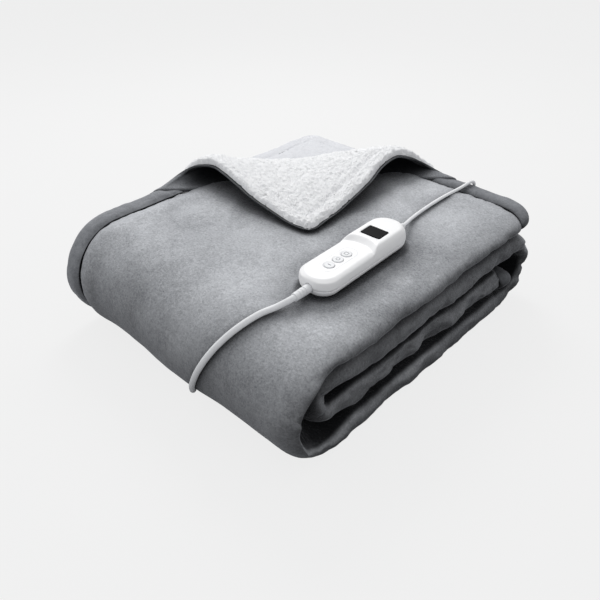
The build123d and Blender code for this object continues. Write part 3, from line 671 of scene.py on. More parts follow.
def build_mark(name, cad_name, x, y, width, z, closed, material):
    """A thin raised line along points in the controller's frame."""
    points = np.stack(np.broadcast_arrays(x, y), 1)
    count = len(points)
    if closed:
        along = np.roll(points, -1, 0) - np.roll(points, 1, 0)
    else:
        along = np.gradient(points, axis=0)
    along /= np.maximum(np.linalg.norm(along, axis=1, keepdims=True), 1e-9)
    side = np.stack([-along[:, 1], along[:, 0]], 1) * width / 2
    bottom, top = np.full(count, z - 0.15), np.full(count, z + 0.07)
    vertices = np.stack([
        np.c_[points + side, bottom], np.c_[points + side * 0.8, top],
        np.c_[points - side * 0.8, top], np.c_[points - side, bottom],
    ], 1).reshape(-1, 3)
    faces = []
    for i in range(count if closed else count - 1):
        a, b = i * 4, (i + 1) % count * 4
        for k in range(4):
            j = (k + 1) % 4
            faces.append([a + k, a + j, b + j, b + k])
    if not closed:
        faces += [[3, 2, 1, 0], [(count - 1) * 4 + k for k in range(4)]]
    mark = mesh_object(name, from_controller(vertices), faces, material)
    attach(mark, body_of(NODES[cad_name])[0])


def build_controller():
    build_shell("controller_top_shell", "controller_upper_moulding", voxel=0.0005)
    build_shell("controller_bottom_shell", "controller_lower_moulding", voxel=0.0006)
    angle = np.linspace(0, 2 * math.pi, 40, endpoint=False)
    ink = SOLIDS["printed_grey_marks"]
    build_mark("mark_bar", "heat_button", np.linspace(-1.7, 1.7, 6), KEY_Y - KEY_PITCH,
               width=0.9, z=KEY_TOP, closed=False, material=ink)
    build_mark("mark_ring", "timer_button", 1.75 * np.cos(angle), KEY_Y + 1.75 * np.sin(angle),
               width=0.5, z=KEY_TOP, closed=True, material=ink)
    # the small offsets keep points off the axes, where the signs change
    turned = angle + 0.04
    build_mark("mark_box", "power_button", 1.8 * signed_power(np.cos(turned), 0.35),
               KEY_Y + KEY_PITCH + 1.8 * signed_power(np.sin(turned), 0.35),
               width=0.5, z=KEY_TOP, closed=True, material=ink)
    turned = angle + 0.02
    build_mark("key_surround_line", "controller_top_shell", 8.0 * np.cos(turned),
               KEY_Y + 8.0 * np.sin(turned) + 14.0 * np.sign(np.sin(turned)),
               width=0.45, z=18.02, closed=True, material=SOLIDS["soft_touch_keys"])


build_controller()


# ---------------------------------------------------------------- relief of the outer surface
def controller_distance(x, y):
    """Signed distance to a rounded outline round the controller."""
    corner_radius = 16.0
    half_size = np.array([CONTROLLER_HALF_WIDTH, CONTROLLER_HALF_LENGTH])
    excess = np.abs(to_controller(flat(x, y))[..., :2]) - (half_size - corner_radius)
    outside = np.maximum(excess, 0)
    inside = np.minimum(excess.max(-1), 0)
    return np.hypot(outside[..., 0], outside[..., 1]) + inside - corner_radius


def seam_relief(along, off, seed, swell):
    """Puckers and a groove beside a hem seam, then a swell further off."""
    puckers = (noise(flat(along, off * 0.45), 9.0, seed)
               + 0.6 * noise(flat(along, off * 0.6), 5.0, seed + 1))
    beyond = np.maximum(off, 0)
    return (0.9 * puckers * np.exp(-beyond / 13.0) - 3.6 * np.exp(-beyond / 5.0)
            + swell * gauss(off - 17, 11))


def top_relief(x, t):
    """Soft relief of the outer surface, added along n."""
    slanted = flat(x * 0.8 + t * 0.45, t * 0.8 - x * 0.45)
    height = 1.7 * noise(slanted * np.array([1, 0.55, 1]), 62.0, 3)
    height = height + layers(slanted, (0.9, 34.0, 4), (0.35, 15.0, 5))
    height = height + seam_relief(t, x + HALF_WIDTH - HEM, seed=11, swell=1.5)
    height = height + seam_relief(x, t - HEM, seed=21, swell=1.2)
    # pressed flat under the controller, with a soft bulge round it on the top run
    distance = controller_distance(x, END_Y - t)
    near = smooth(-distance, -9.0, 0.0)
    height = height * (1 - near) - 0.5 * near
    return height + 1.5 * gauss(distance - 4.2, 3.2) * (t < 320)


# ---------------------------------------------------------------- the roll's outer skin
ROW_STEPS = [2.9, 2.3, 5.5, 2.6, 4.2, 2.8, 5.0]      # spacing of the rows in each of the seven runs
# The section in each of the seven runs
TOP_ROUND = [30, 27, 15, 17, 18, 26, 16]            # width of the upper rounding at the folded side
LOW_ROUND = [11.0, 6.0, 10.0, 9.0, 12.0, 8.0, 12.0]
FAR_X = [160.2, 159.5, 157.2, 156.5, 155.0, 150.5, 154.0]
FAR_N = [16.5, 18.5, 15.0, 17.0, 15.5, 16.0, 15.0]  # height of the furthest point
LOW_N = [8.2, 15.5, 4.0, 11.0, 3.2, 9.0, 3.0]       # where the lower rounding ends
ROUGHNESS = [0.7, 0.9, 1.1, 1.3, 1.2, 1.6, 2.0]     # unevenness of the folded side
# Section points along the top, each quarter round, the underside and the free edge's fold
TOP_POINTS, QUARTER_POINTS, UNDER_POINTS, FOLD_POINTS = 100, 13, 44, 9
# The step up to the hem seam: (x from the free edge, n)
SEAM_STEP = [(12, 14.2), (HEM + 0.4, 14.2), (HEM + 1.6, 15.2), (HEM - 0.2, 16.8),
             (HEM - 0.2, 19.6), (HEM + 1.5, 21.6), (HEM, 23.4), (HEM - 0.2, 25.6)]


def roll_rows():
    """Places of the section rows along the roll."""
    rows = []
    for run, step in enumerate(ROW_STEPS):
        start = RUN_STARTS[run] + (HEM if run == 0 else 0)
        end = RUN_STARTS[run + 1] - (HEM if run == 6 else 0)
        count = max(2, int(round((end - start) / step)))
        rows.append(np.linspace(start, end, count, endpoint=False))
    rows.append(np.array([ROLL_END - HEM]))
    return np.concatenate(rows)


def along_runs(t, values):
    """A value for each of the seven runs, carried smoothly along the roll."""
    places, levels = [], []
    for run, value in enumerate(values):
        margin = RUN_LENGTHS[run] * 0.3 if run % 2 else 30
        places += [RUN_STARTS[run] + margin, RUN_STARTS[run + 1] - margin]
        levels += [value, value]
    fine = np.linspace(0, ROLL_END, 1400)
    window = np.hanning(41)
    padded = np.pad(np.interp(fine, places, levels), 20, mode="edge")
    return np.interp(t, fine, np.convolve(padded, window / window.sum(), mode="valid"))


def roll_section(t, far_x, quarter):
    """Section points (x, n) for each row, clockwise from the seam on top."""
    top_round, low_round = along_runs(t, TOP_ROUND), along_runs(t, LOW_ROUND)
    far_n, low_n = along_runs(t, FAR_N), along_runs(t, LOW_N)
    seam_x = -HALF_WIDTH + HEM
    fold_x = -HALF_WIDTH + PLY
    low_x = far_x - low_round
    top_x = seam_x + (far_x - top_round - seam_x) * np.linspace(0, 1, TOP_POINTS)[None, :]
    under_x = low_x + (fold_x - low_x) * np.linspace(0, 1, UNDER_POINTS)[None, 1:]
    half = np.linspace(0, math.pi, FOLD_POINTS + 1)[None, 1:]
    step_x, step_n = np.array(SEAM_STEP).T
    parts = [
        (top_x, OUTER_N),
        (far_x - top_round + top_round * np.sin(quarter) ** 0.92,
         far_n + (OUTER_N - far_n) * np.cos(quarter) ** 0.96),
        (low_x + low_round * np.cos(quarter) ** 0.9, far_n - (far_n - low_n) * np.sin(quarter)),
        (under_x, GAP + (low_n - GAP) * (1 - smooth(low_x - under_x, 0, 34.0))),
        (fold_x - PLY * np.sin(half) + 0 * t, GAP + PLY - PLY * np.cos(half)),
        (step_x - HALF_WIDTH + 0 * t, step_n),
    ]
    parts = [np.broadcast_arrays(x, n) for x, n in parts]
    return (np.concatenate(values, 1) for values in zip(*parts))


def side_unevenness(t, N):
    """Swells, ridges and tucks of the folded side, deeper at the turns."""
    rough = along_runs(t, ROUGHNESS)
    swell = layers(flat(t, N * 1.3), (1.7, 40.0, 31), (1.2, 18.0, 32), (0.6, 8.0, 33),
                   (0.25, 4.0, 34)) - 0.5
    slanted = flat(t * 0.8 + N * 1.6, N * 0.7 - t * 0.25, 5.0)
    ridge = ridged(slanted, 23.0, 36) ** 3 * 2.2 - 0.9
    at_turns = 0
    # turn, width of its influence, strength
    for turn, width, strength in ((1, 60, 0.5), (3, 42, 1), (5, 22, 1)):
        middle = RUN_STARTS[turn] + RUN_LENGTHS[turn] / 2
        at_turns = at_turns + gauss(t - middle, width) * strength
    tuck = -5.5 * ridged(flat(t, N * 0.35, 5.0), 15.0, 35) ** 5 + 1.5
    return swell * rough + ridge * (rough - 0.6) * 1.1 + tuck * np.clip(at_turns, 0, 1)


def build_roll():
    t = roll_rows()[:, None]
    quarter = np.linspace(0, math.pi / 2, QUARTER_POINTS + 1)[None, 1:]
    far_x = along_runs(t, FAR_X)
    X, N = roll_section(t, far_x, quarter)
    T = np.broadcast_to(t, X.shape)
    columns = X.shape[1]
    column = np.arange(columns)[None, :]
    far = TOP_POINTS + QUARTER_POINTS
    low = far + QUARTER_POINTS

    outer = np.zeros(columns)
    outer[:TOP_POINTS] = 1
    outer[TOP_POINTS:far] = np.cos(quarter[0]) ** 0.7
    outer[-3:] = 1
    # the runs inside the stack keep flatter
    shown = 1 - 0.75 * smooth(t, RUN_STARTS[2] - 10, RUN_STARTS[2] + 30)
    N = N + top_relief(X, T) * outer[None, :] * shown

    side = np.zeros(columns)
    side[TOP_POINTS:low] = np.concatenate([np.sin(quarter[0]), np.cos(quarter[0])]) ** 1.5
    X = X + side_unevenness(t, N) * side[None, :]

    # the lip where a run turns under is uneven
    lip = np.zeros(columns)
    lip_start = TOP_POINTS + QUARTER_POINTS // 2
    lip[lip_start:low + 6] = np.hanning(low + 6 - lip_start)
    N = N + lip[None, :] * (1.9 * noise(flat(t, 0, 8.0), 26.0, 37)
                            + layers(flat(t, 0, 9.0), (1.1, 9.0, 38), (0.5, 4.0, 39)))

    # behind the crease of the turned-back corner the top ply is gone
    u, v = to_corner(X, END_Y - T)
    crease_u = 6.0 - 0.088 * v
    sunk = 9.5 * smooth(crease_u - u, -7.0, 2.0)
    top_run = T < RUN_STARTS[1]
    N = np.where(top_run & (column < far), N - sunk, N)
    N = np.where(top_run & (column >= columns - 3), np.minimum(N, OUTER_N - sunk - 2.5), N)

    # painted shade: the folded side's underside is marked darker the further it lies inside the side's outer
    # face
    inside = (column >= far + QUARTER_POINTS // 2) & (column < low + UNDER_POINTS - 8)
    painted_shade_depth = np.where(inside, smooth(far_x - X, 2.5, 8.0) * 0.985, 0.0)

    P = on_roll(X, N, T)
    P[..., 2] = np.maximum(P[..., 2], 0.3)

    def closing_rows(row, shares):
        """Copies of an end row, shrunk by each share on to its middle."""
        return [on_roll(X[row] * (1 - 0.02 * share),
                        HALF_RUN + (N[row] - HALF_RUN) * (1 - share), T[row])
                for share in shares]

    start, end = closing_rows(0, (0.999, 0.6, 0.25)), closing_rows(-1, (0.25, 0.6, 0.999))
    P = np.concatenate([start, P, end], 0)
    painted_shade_depth = np.concatenate([painted_shade_depth[:1].repeat(3, 0), painted_shade_depth, painted_shade_depth[-1:].repeat(3, 0)], 0)
    piece = mesh_object("throw_roll_plush", P.reshape(-1, 3),
                        grid_faces(P.shape[0], columns, wrap=True), PLUSH)
    piece.data.attributes.new("painted_fold_shade", "FLOAT", "POINT")
    set_values(piece, "painted_fold_shade", painted_shade_depth.reshape(-1))
    weld(piece, 0.00001)
    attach(piece, "throw")
    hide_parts("plush_face")


build_roll()


# ---------------------------------------------------------------- hems
def finish_hem(name, P, material):
    P[..., 2] = np.maximum(P[..., 2], 0.4)
    hem = closed_tube(name, P, [P[0].mean(0), P[-1].mean(0)], material)
    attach(hem, "throw")
    return hem


def build_side_hem(name, start, end, middle_n, pucker, step):
    """A plump sewn band swept along the roll at the free long edge."""
    t = np.arange(start, end, step)[:, None]
    angle = np.linspace(0, 2 * math.pi, 26, endpoint=False)[None, :]
    across = signed_power(np.cos(angle), 0.72)
    up = signed_power(np.sin(angle), 0.85)
    half_width, half_thickness = HEM / 2 - 0.2, 3.35
    middle_x = -HALF_WIDTH + HEM / 2
    puckers = (noise(flat(t, across * 5.0), 8.0, 41) * 0.7
               + noise(flat(t, across * 6.0), 15.0, 42) * 0.9
               - 1.1 * ridged(flat(t, across * 3.0), 21.0, 44) ** 4)
    wander = 0.8 * noise(flat(t, 0, 3.0), 24.0, 43) * (across < 0)
    pinch = 1 - 0.55 * smooth(across, 0.55, 1.0)      # thinner at the seam
    thickness = (half_thickness + puckers * (up > 0) * pucker) * up * pinch
    ends = np.minimum(smooth(t - start, -0.01, 5.0), smooth(end - t, -0.01, 5.0)) ** 0.5
    N = middle_n + thickness * np.maximum(ends, 0.02)
    X = middle_x + (half_width * across + wander) * (0.75 + 0.25 * ends)
    return finish_hem(name, on_roll(X, N, t), SIDE_HEM)


def sheet_path(x_start):
    """Middle line (x, n) of the folded sheet, from the top ply's free edge inwards."""
    step, half = 2.6, PLY / 2
    far_x, top_round, low_round = HALF_WIDTH + 1.2, 30.0, 14.0
    far_n, drop = 17.5, 5.6             # furthest point, and how far it falls from there
    low_n = far_n - drop
    second_n = GAP + half               # second ply
    third_n = HALF_RUN + 0.1            # centre of the third ply's turn
    upper = np.linspace(0, math.pi / 2, 14)
    lower = np.linspace(0, math.pi / 2, 9)[1:]
    under_x = np.arange(far_x - 18.0, far_x - 48.0, -step * 1.6)
    fold = np.linspace(0, math.pi, 9)
    turn = np.linspace(0.15, math.pi - 0.15, 7)
    parts = [
        (np.arange(x_start, far_x - top_round, step), OUTER_N - half),
        (far_x - top_round + (top_round - half) * np.sin(upper) ** 0.92,
         far_n + (OUTER_N - half - far_n) * np.cos(upper)),
        (far_x - low_round + (low_round - half) * np.cos(lower), far_n - drop * np.sin(lower)),
        (under_x, low_n + (second_n - low_n) * smooth(far_x - 18.0 - under_x, 0, 30.0)),
        (np.arange(far_x - 50.0, -HALF_WIDTH + PLY, -step * 1.6), second_n),
        (-HALF_WIDTH + PLY - half * np.sin(fold), GAP + PLY - half * np.cos(fold)),
        (np.arange(-HALF_WIDTH + PLY + 3, HALF_WIDTH - 15.0, step * 1.8), GAP + 1.5 * PLY),
        (HALF_WIDTH - 14.1 + 3.7 * np.sin(turn), third_n - 3.7 * np.cos(turn)),
        (np.arange(HALF_WIDTH - 17.0, -HALF_WIDTH + 1.0, -step * 1.4), third_n + half),
    ]
    return np.concatenate([np.stack(np.broadcast_arrays(x, n), 1) for x, n in parts])


def build_end_hem(name, x_start, t_edge, t_seam, pucker):
    """A sewn band along the folded sheet at one end of the roll."""
    path = sheet_path(x_start)
    tangent = np.gradient(path, axis=0)
    tangent /= np.linalg.norm(tangent, axis=1)[:, None]
    length = path_lengths(path)
    angle = np.linspace(0, 2 * math.pi, 16, endpoint=False)
    S, across = np.broadcast_arrays(length[:, None], signed_power(np.cos(angle), 0.72)[None, :])
    up = signed_power(np.sin(angle), 0.85)[None, :]
    middle_t, half_t = (t_edge + t_seam) / 2, (t_seam - t_edge) / 2
    puckers = (0.8 * noise(flat(S, across * 6), 15.0, 51)
               + 0.45 * noise(flat(S, across * 5), 8.0, 52))
    towards_seam = across * np.sign(half_t)
    thickness = 3.3 * (1 - 0.5 * smooth(towards_seam, 0.55, 1.0)) + puckers * pucker * (up > 0)
    ends = np.minimum(smooth(S, -0.01, 4.0), smooth(length[-1] - S, -0.01, 4.0)) ** 0.5
    offset = thickness * up * np.maximum(ends, 0.03)
    X = path[:, :1] - tangent[:, 1:] * offset
    N = path[:, 1:] + tangent[:, :1] * offset
    wander = 1.4 * noise(flat(S, 0, 9.0), 30.0, 53) * pucker
    T = middle_t + half_t * across + wander * (towards_seam < 0)
    P = on_roll(X, N, np.clip(T, -3, ROLL_END + 3))
    if t_edge < 100:
        # past the free end of the top run the hem goes straight on
        P[..., 1] = np.where(T < 0, END_Y - T, P[..., 1])
    return finish_hem(name, P, END_HEM)


side_hem = build_side_hem("side_hem_outer_ply", start=213.0, end=ROLL_END - 1.0,
                          middle_n=OUTER_N - PLY / 2 + 0.3, pucker=1.0, step=2.6)
build_side_hem("side_hem_second_ply", start=8.0, end=ROLL_END - 1.0,
               middle_n=HALF_RUN + PLY / 2, pucker=0.15, step=4.0)
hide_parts("side_hems")

end_hem = build_end_hem("end_hem_outer", x_start=22.0, t_edge=0.0, t_seam=HEM, pucker=1.0)
build_end_hem("end_hem_inner", x_start=-HALF_WIDTH + 2.0, t_edge=ROLL_END,
              t_seam=ROLL_END - HEM, pucker=0.4)
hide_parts("end_hems")


# ---------------------------------------------------------------- the turned-back corner
# The ply from where it leaves the top, up and over: (u, v, z), one row for each place
# across (ACROSS), one column for each place round the curl (AROUND)
AROUND = [0, 0.17, 0.33, 0.5, 0.67, 0.83, 1.0]
ACROSS = [-1.0, -0.85, -0.6, -0.25, 0.25, 0.6, 0.85, 1.0]
CURL = [
    [(44, -172, 113.5), (34, -161, 116.5), (27, -152, 120.5), (21, -143, 125.5),
     (19.5, -133.5, 130.5), (22, -124, 134.5), (27, -115, 137.5)],
    [(40, -146, 112.3), (28, -138, 114), (16, -129, 117.5), (7, -122, 123.5),
     (3, -116, 131), (6, -110, 137), (13, -104, 139.5)],
    [(30, -95, 111.6), (17, -93, 112.2), (4, -91, 114.5), (-4, -88, 119.5),
     (-3, -84, 127), (4, -80, 131.5), (12, -77, 132.5)],
    [(18, -32, 111.6), (8, -32, 112), (-3, -31, 114.5), (-7.5, -30, 120),
     (-5, -29, 126), (1, -28, 128.5), (8, -27, 129)],
    [(15, 38, 111.6), (4, 38, 112.1), (-8, 37, 115), (-14, 36, 122.5),
     (-11, 35, 130), (-4, 34, 134), (4, 33, 135)],
    [(16, 95, 111.8), (2, 94, 113), (-11, 92, 117), (-18, 90, 126),
     (-15, 87, 135), (-7, 85, 139.5), (2, 83, 141)],
    [(20, 140, 113), (8, 133, 115), (-4, 125, 118.5), (-11, 118, 124.5),
     (-11, 110, 132), (-5, 104, 138.5), (4, 99, 142)],
    [(22, 166, 113.5), (14, 157, 115.3), (8, 148, 118), (5, 139, 122),
     (5, 129.5, 127.5), (10, 119, 134.5), (18, 109, 140)],
]
# The two rims (u, v, z), from the curl's -v and +v ends to the rounded tip
LOW_V_RIM = [(29.5, -107, 138), (44.3, -93.2, 136.3), (62.4, -79.7, 133.5), (81, -66.2, 130),
             (98.6, -50.4, 126.5), (115.3, -34.6, 123), (130, -19.8, 120.8),
             (135.5, -11.5, 120.2)]
HIGH_V_RIM = [(18.5, 98, 142), (26.5, 88, 141.6), (41, 76, 139.4), (60.5, 63.6, 135),
              (79.5, 49, 130), (97, 34.2, 125.2), (112, 21.3, 122), (127, 7.2, 120.4),
              (134, 1, 120.2)]
TIP = (137.2, -5.4, 120.0)
CURL_LENGTH, FLAP_LENGTH = 54, 176


def between(start, end, across):
    """Points on the line from start (across = -1) to end (across = 1)."""
    return start[None, :] * ((1 - across) / 2)[:, None] + end[None, :] * ((1 + across) / 2)[:, None]


def corner_grid(inset, columns, spacing):
    """u, v, z of the middle surface, its angle round the curl and distance to the rim."""
    across = np.linspace(-1, 1, columns)
    across = np.sin(across * math.pi / 2) * 0.2 + across * 0.8
    around = np.linspace(0, 1, int(CURL_LENGTH / spacing))
    curl = hermite(around, AROUND, np.swapaxes(np.array(CURL, float), 0, 1))
    full = np.array([hermite(across, ACROSS, row) for row in curl])
    width = np.linalg.norm(full[:, -1] - full[:, 0], axis=1)
    rows = [hermite(across * (1 - 2.4 * inset / width[i]), ACROSS, row)
            for i, row in enumerate(curl)]

    # the flat part follows both rims and loses the curl's bow on the way to the tip
    top = full[-1]
    share = np.linspace(0, 1, int(FLAP_LENGTH / spacing))
    low_rim = evenly([top[0]] + LOW_V_RIM + [TIP], len(share))
    high_rim = evenly([top[-1]] + HIGH_V_RIM + [TIP], len(share))
    bow = top - between(top[0], top[-1], across)
    for place in share[1:] * (1 - inset * 1.3 / FLAP_LENGTH):
        low, high = (np.array([np.interp(place, share, rim[:, k]) for k in range(3)])
                     for rim in (low_rim, high_rim))
        row_width = max(np.linalg.norm(high - low), 0.5)
        q = across * max(1 - 2.6 * inset / row_width, 0.02)
        row_bow = np.stack([np.interp(q, across, bow[:, k]) for k in range(3)], 1)
        sag = (6.5 * (1 - q ** 2) * math.sin(math.pi * min(place * 1.05, 1.0) ** 0.8)
               * min(row_width / 60.0, 1.0))
        row = between(low, high, q) + row_bow * (1 - place) ** 3.2
        row[:, 2] = np.maximum(row[:, 2] - sag, 119.7)
        rows.append(row)
    grid = np.array(rows)
    u, v, z = np.moveaxis(grid, -1, 0)
    angles = np.concatenate([around * math.pi, np.full(len(share) - 1, math.pi)])
    angle = np.repeat(angles[:, None], columns, 1)

    rim = np.concatenate([full[:, 0], low_rim[1:], high_rim[:0:-1], full[::-1, -1]])
    tree = search_tree(evenly(rim[::2], 1400))
    edge = np.array([tree.find(point)[2] for point in grid.reshape(-1, 3)]).reshape(u.shape)
    edge = np.maximum(edge - inset, 0)
    edge[:, 0] = edge[:, -1] = edge[-1] = 0
    edge = np.minimum(edge, (0.01 + np.arange(len(rows)) * 2.0)[:, None])
    relief = layers(flat(u, v), (0.9, 30.0, 61), (0.4, 13.0, 62))
    z = z + relief * np.clip(angle / math.pi * 2 - 0.6, 0, 1)
    return u, v, z, angle, edge


def upward_normals(grid):
    normals = grid_normals(grid)
    rows, columns = grid.shape[:2]
    return -normals if normals[int(rows * 0.8), columns // 2, 2] < 0 else normals


def fold_weights(piece, arc):
    """Share of the fold's turn each point takes, so that the curl flattens as it opens."""
    places = vertex_places(piece.data) * 1000
    u = to_corner(places[:, 0], places[:, 1])[0]
    rise = places[:, 2] - HINGE_Z
    radius = np.maximum(np.hypot(u, rise), 1e-3)
    phi = np.degrees(np.arctan2(rise, u))
    full_turn = 173.0
    opened_drop = 9.0                   # the opened corner lies this far under the hinge axis
    target = 180.0 + np.degrees(np.arcsin(np.clip(opened_drop / radius, 0, 1)))
    flap = (target - phi) / full_turn
    part = np.clip(arc / math.pi, 0, 1)
    end = 270.0 - (270.0 - target) * part
    start = np.where(part > 0.02, np.where(phi < 0, phi + 360.0, phi), 270.0)
    curl = (end - start) / full_turn
    weights = np.where(arc < 0.02, 0.0, np.where(arc < math.pi - 0.01, curl, flap))
    return np.clip(weights, 0, 1)


def finish_flap(piece, middle, angle, slot, *replaced):
    """Stores each point's curl angle and lets the piece open about the crease."""
    tree = search_tree(middle.reshape(-1, 3) * 0.001)
    angles = angle.reshape(-1)
    arc = np.array([angles[tree.find(place)[1]] for place in vertex_places(piece.data)],
                   np.float32)
    piece.data.attributes.new("arc", "FLOAT", "POINT")
    set_values(piece, "arc", arc)
    x, y = CREASE / 1000
    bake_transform(piece, "throw", "corner_flap", start=(x, y, 0.10), end=(x, y, 0.13))
    set_values(piece, "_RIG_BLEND", fold_weights(piece, arc))
    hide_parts(*replaced)


def build_flap():
    u, v, z, angle, edge = corner_grid(inset=2.2, columns=215, spacing=1.25)
    middle = from_corner(u, v, z)
    # a plump band along the rim with a groove on its inner side
    distance = edge + 1.2 * noise(flat(u, v), 16.0, 70)
    band = 2.4 * (1 - smooth(distance, 11.0, 19.0)) - 2.6 * gauss(distance - 18.5, 4.0)
    up = 3.2 + band * (edge > 0.5) * smooth(angle, 2.0, 3.0)
    ragged = 1.6 * noise(flat(u, v, 3.0), 3.0, 71) * (edge < 4) * (edge > 0.01)
    sherpa = slab("corner_sherpa_side", middle, upward_normals(middle), up=up, down=0.2,
                  edge=np.maximum(edge + ragged, 0), material=SHERPA, tuft=1.9, seed=80)
    finish_flap(sherpa, middle, angle, "white_sherpa", "flap_sherpa", "flap_hem")

    u, v, z, angle, edge = corner_grid(inset=0.0, columns=130, spacing=2.2)
    middle = from_corner(u, v, z)
    plush = slab("corner_plush_side", middle, upward_normals(middle), up=0.1, down=3.3,
                 edge=edge, material=SHADED_UNDERSIDE)
    finish_flap(plush, middle, angle, "grey_plush", "flap_plush", "corner_fold_roll")


build_flap()


def build_under_corner():
    """The second ply's sherpa, uncovered behind the fold."""
    corner_u, middle_v = -139.0, 8.3
    blunt = 9.0                         # how far inside the sharp corner the pad ends
    last_u = corner_u + blunt
    u = 20 - 155.5 * np.linspace(0, 1, 96)
    u = np.append(u[u > last_u], last_u)[:, None]
    across = np.linspace(-1, 1, 150)[None, :]
    inwards = u - corner_u
    half_width = np.minimum(np.sqrt(inwards ** 2 - blunt ** 2), 168)
    v = middle_v + half_width * across
    edge = np.minimum((half_width - np.abs(v - middle_v)) * 0.72, inwards - blunt)
    edge = np.maximum(edge, 0)
    u = u + 0 * across
    z = 106.3 + layers(flat(u, v), (0.7, 40.0, 91), (0.4, 16.0, 92))
    up = 3.0 - 0.8 * gauss(edge - 17.5, 1.8) + 0.3 * gauss(edge - 9, 5)
    piece = slab("under_corner_sherpa", from_corner(u, v, z), np.array([0, 0, 1.0]), up=up,
                 down=2.6, edge=edge, material=BRUSHED_SHERPA, tuft=0.9, seed=95)
    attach(piece, "throw")
    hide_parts("sherpa_back")


build_under_corner()


# ---------------------------------------------------------------- cables
MAINS_RADIUS, LEAD_RADIUS = 2.7, 1.7
MAINS_OFF, LEAD_OFF = MAINS_RADIUS + 0.5, LEAD_RADIUS + 0.5     # axis above the cloth
FLOOR_RUN_Y, FLOOR_RUN_Z = OUTER_TURN_Y - 23.0, MAINS_RADIUS + 0.2
PLUG_X, PLUG_Y, PLUG_Z = -179.5, 20.0, 6.9
SOCKET_X, SOCKET_Y, SOCKET_Z = -2.0, 184.0, 88.0
# Mains cable on the outer turn: (x, degrees from the top)
MAINS_ON_TURN = [(84.5, 15), (76.5, 35), (67.0, 56), (56.5, 78), (45.0, 100), (32.0, 122),
                 (16.0, 140)]


def controller_axis(y):
    return from_controller(np.array([0.0, y, 8.5]))


def on_turn(x, degrees, off):
    angle, radius = math.radians(degrees), 2 * RUN_PITCH + off
    return x, OUTER_TURN_Y - radius * math.sin(angle), 2 * RUN_PITCH + radius * math.cos(angle)


MAINS_PATH = [
    controller_axis(-45.5), controller_axis(-60.0), controller_axis(-79.5),
    (90.5, -136.0, STACK_HEIGHT + MAINS_OFF + 0.8),
    *(on_turn(x, degrees, MAINS_OFF) for x, degrees in MAINS_ON_TURN),
    (-2.0, FLOOR_RUN_Y - 3.0, FLOOR_RUN_Z + 1.0),
    *((x, FLOOR_RUN_Y, FLOOR_RUN_Z) for x in (-30.0, -70.0, -110.0, -148.0)),
    (-166.0, FLOOR_RUN_Y + 7.0, FLOOR_RUN_Z),
    (-176.0, FLOOR_RUN_Y + 24.0, FLOOR_RUN_Z),
    (PLUG_X, -100.0, FLOOR_RUN_Z), (PLUG_X, -50.0, FLOOR_RUN_Z),
    (PLUG_X, -10.0, FLOOR_RUN_Z + 0.6),
    (PLUG_X, PLUG_Y - 12.0, PLUG_Z - 0.5), (PLUG_X, PLUG_Y + 6.0, PLUG_Z),
]
LEAD_TOP_Z = STACK_HEIGHT + LEAD_OFF
LEAD_PATH = [
    controller_axis(45.5), controller_axis(60.0), controller_axis(75.5),
    (81.0, 62.0, LEAD_TOP_Z + 0.3), (78.6, 89.0, LEAD_TOP_Z), (78.0, 120.0, LEAD_TOP_Z),
    (79.5, 150.0, LEAD_TOP_Z), (81.0, END_Y - 3.0, LEAD_TOP_Z + 0.6),
    (80.0, END_Y + 5.4, STACK_HEIGHT - 3.5), (74.5, SOCKET_Y + 0.5, SOCKET_Z + 8.0),
    (64.0, SOCKET_Y, SOCKET_Z + 1.0), (SOCKET_X + 52.0, SOCKET_Y, SOCKET_Z),
    (SOCKET_X + 38.0, SOCKET_Y, SOCKET_Z),
]


def catmull(points, step):
    """Centripetal Catmull-Rom curve through the points."""
    p = [np.array(point, float) for point in points]
    p = [2 * p[0] - p[1]] + p + [2 * p[-1] - p[-2]]
    curve = []
    for i in range(1, len(p) - 2):
        p0, p1, p2, p3 = p[i - 1:i + 3]
        chords = [np.linalg.norm(b - a) for a, b in ((p0, p1), (p1, p2), (p2, p3))]
        t0, t1, t2, t3 = np.cumsum([0.0] + [chord ** 0.5 for chord in chords])
        count = max(1, int(round(chords[1] / step)))
        t = (t1 + (t2 - t1) * np.arange(count) / count)[:, None]

        def blend(a, b, start, end):
            return a * ((end - t) / (end - start)) + b * ((t - start) / (end - start))

        a1, a2, a3 = blend(p0, p1, t0, t1), blend(p1, p2, t1, t2), blend(p2, p3, t2, t3)
        b1, b2 = blend(a1, a2, t0, t2), blend(a2, a3, t1, t3)
        curve.extend(blend(b1, b2, t1, t2))
    curve.append(p[-2])
    return np.array(curve)


def cable(name, line, radius, sides):
    tangents = np.gradient(line, axis=0)
    tangents /= np.linalg.norm(tangents, axis=1)[:, None]
    angle = np.linspace(0, 2 * math.pi, sides, endpoint=False)[:, None]
    side = np.cross(tangents[0], [0, 0, 1.0])
    side /= np.linalg.norm(side)
    rings = []
    for point, tangent in zip(line, tangents):
        side = side - tangent * (side @ tangent)
        side /= np.linalg.norm(side)
        other = np.cross(tangent, side)
        rings.append(point + radius * (np.cos(angle) * side + np.sin(angle) * other))
    return closed_tube(name, np.array(rings), [line[0], line[-1]], SOLIDS["pvc_cable_sheath"])


def build_mains_cable():
    mains = cable("mains_cable_sheath", catmull(MAINS_PATH, step=2.6), MAINS_RADIUS, sides=20)
    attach(mains, "throw")
    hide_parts("mains_cable")


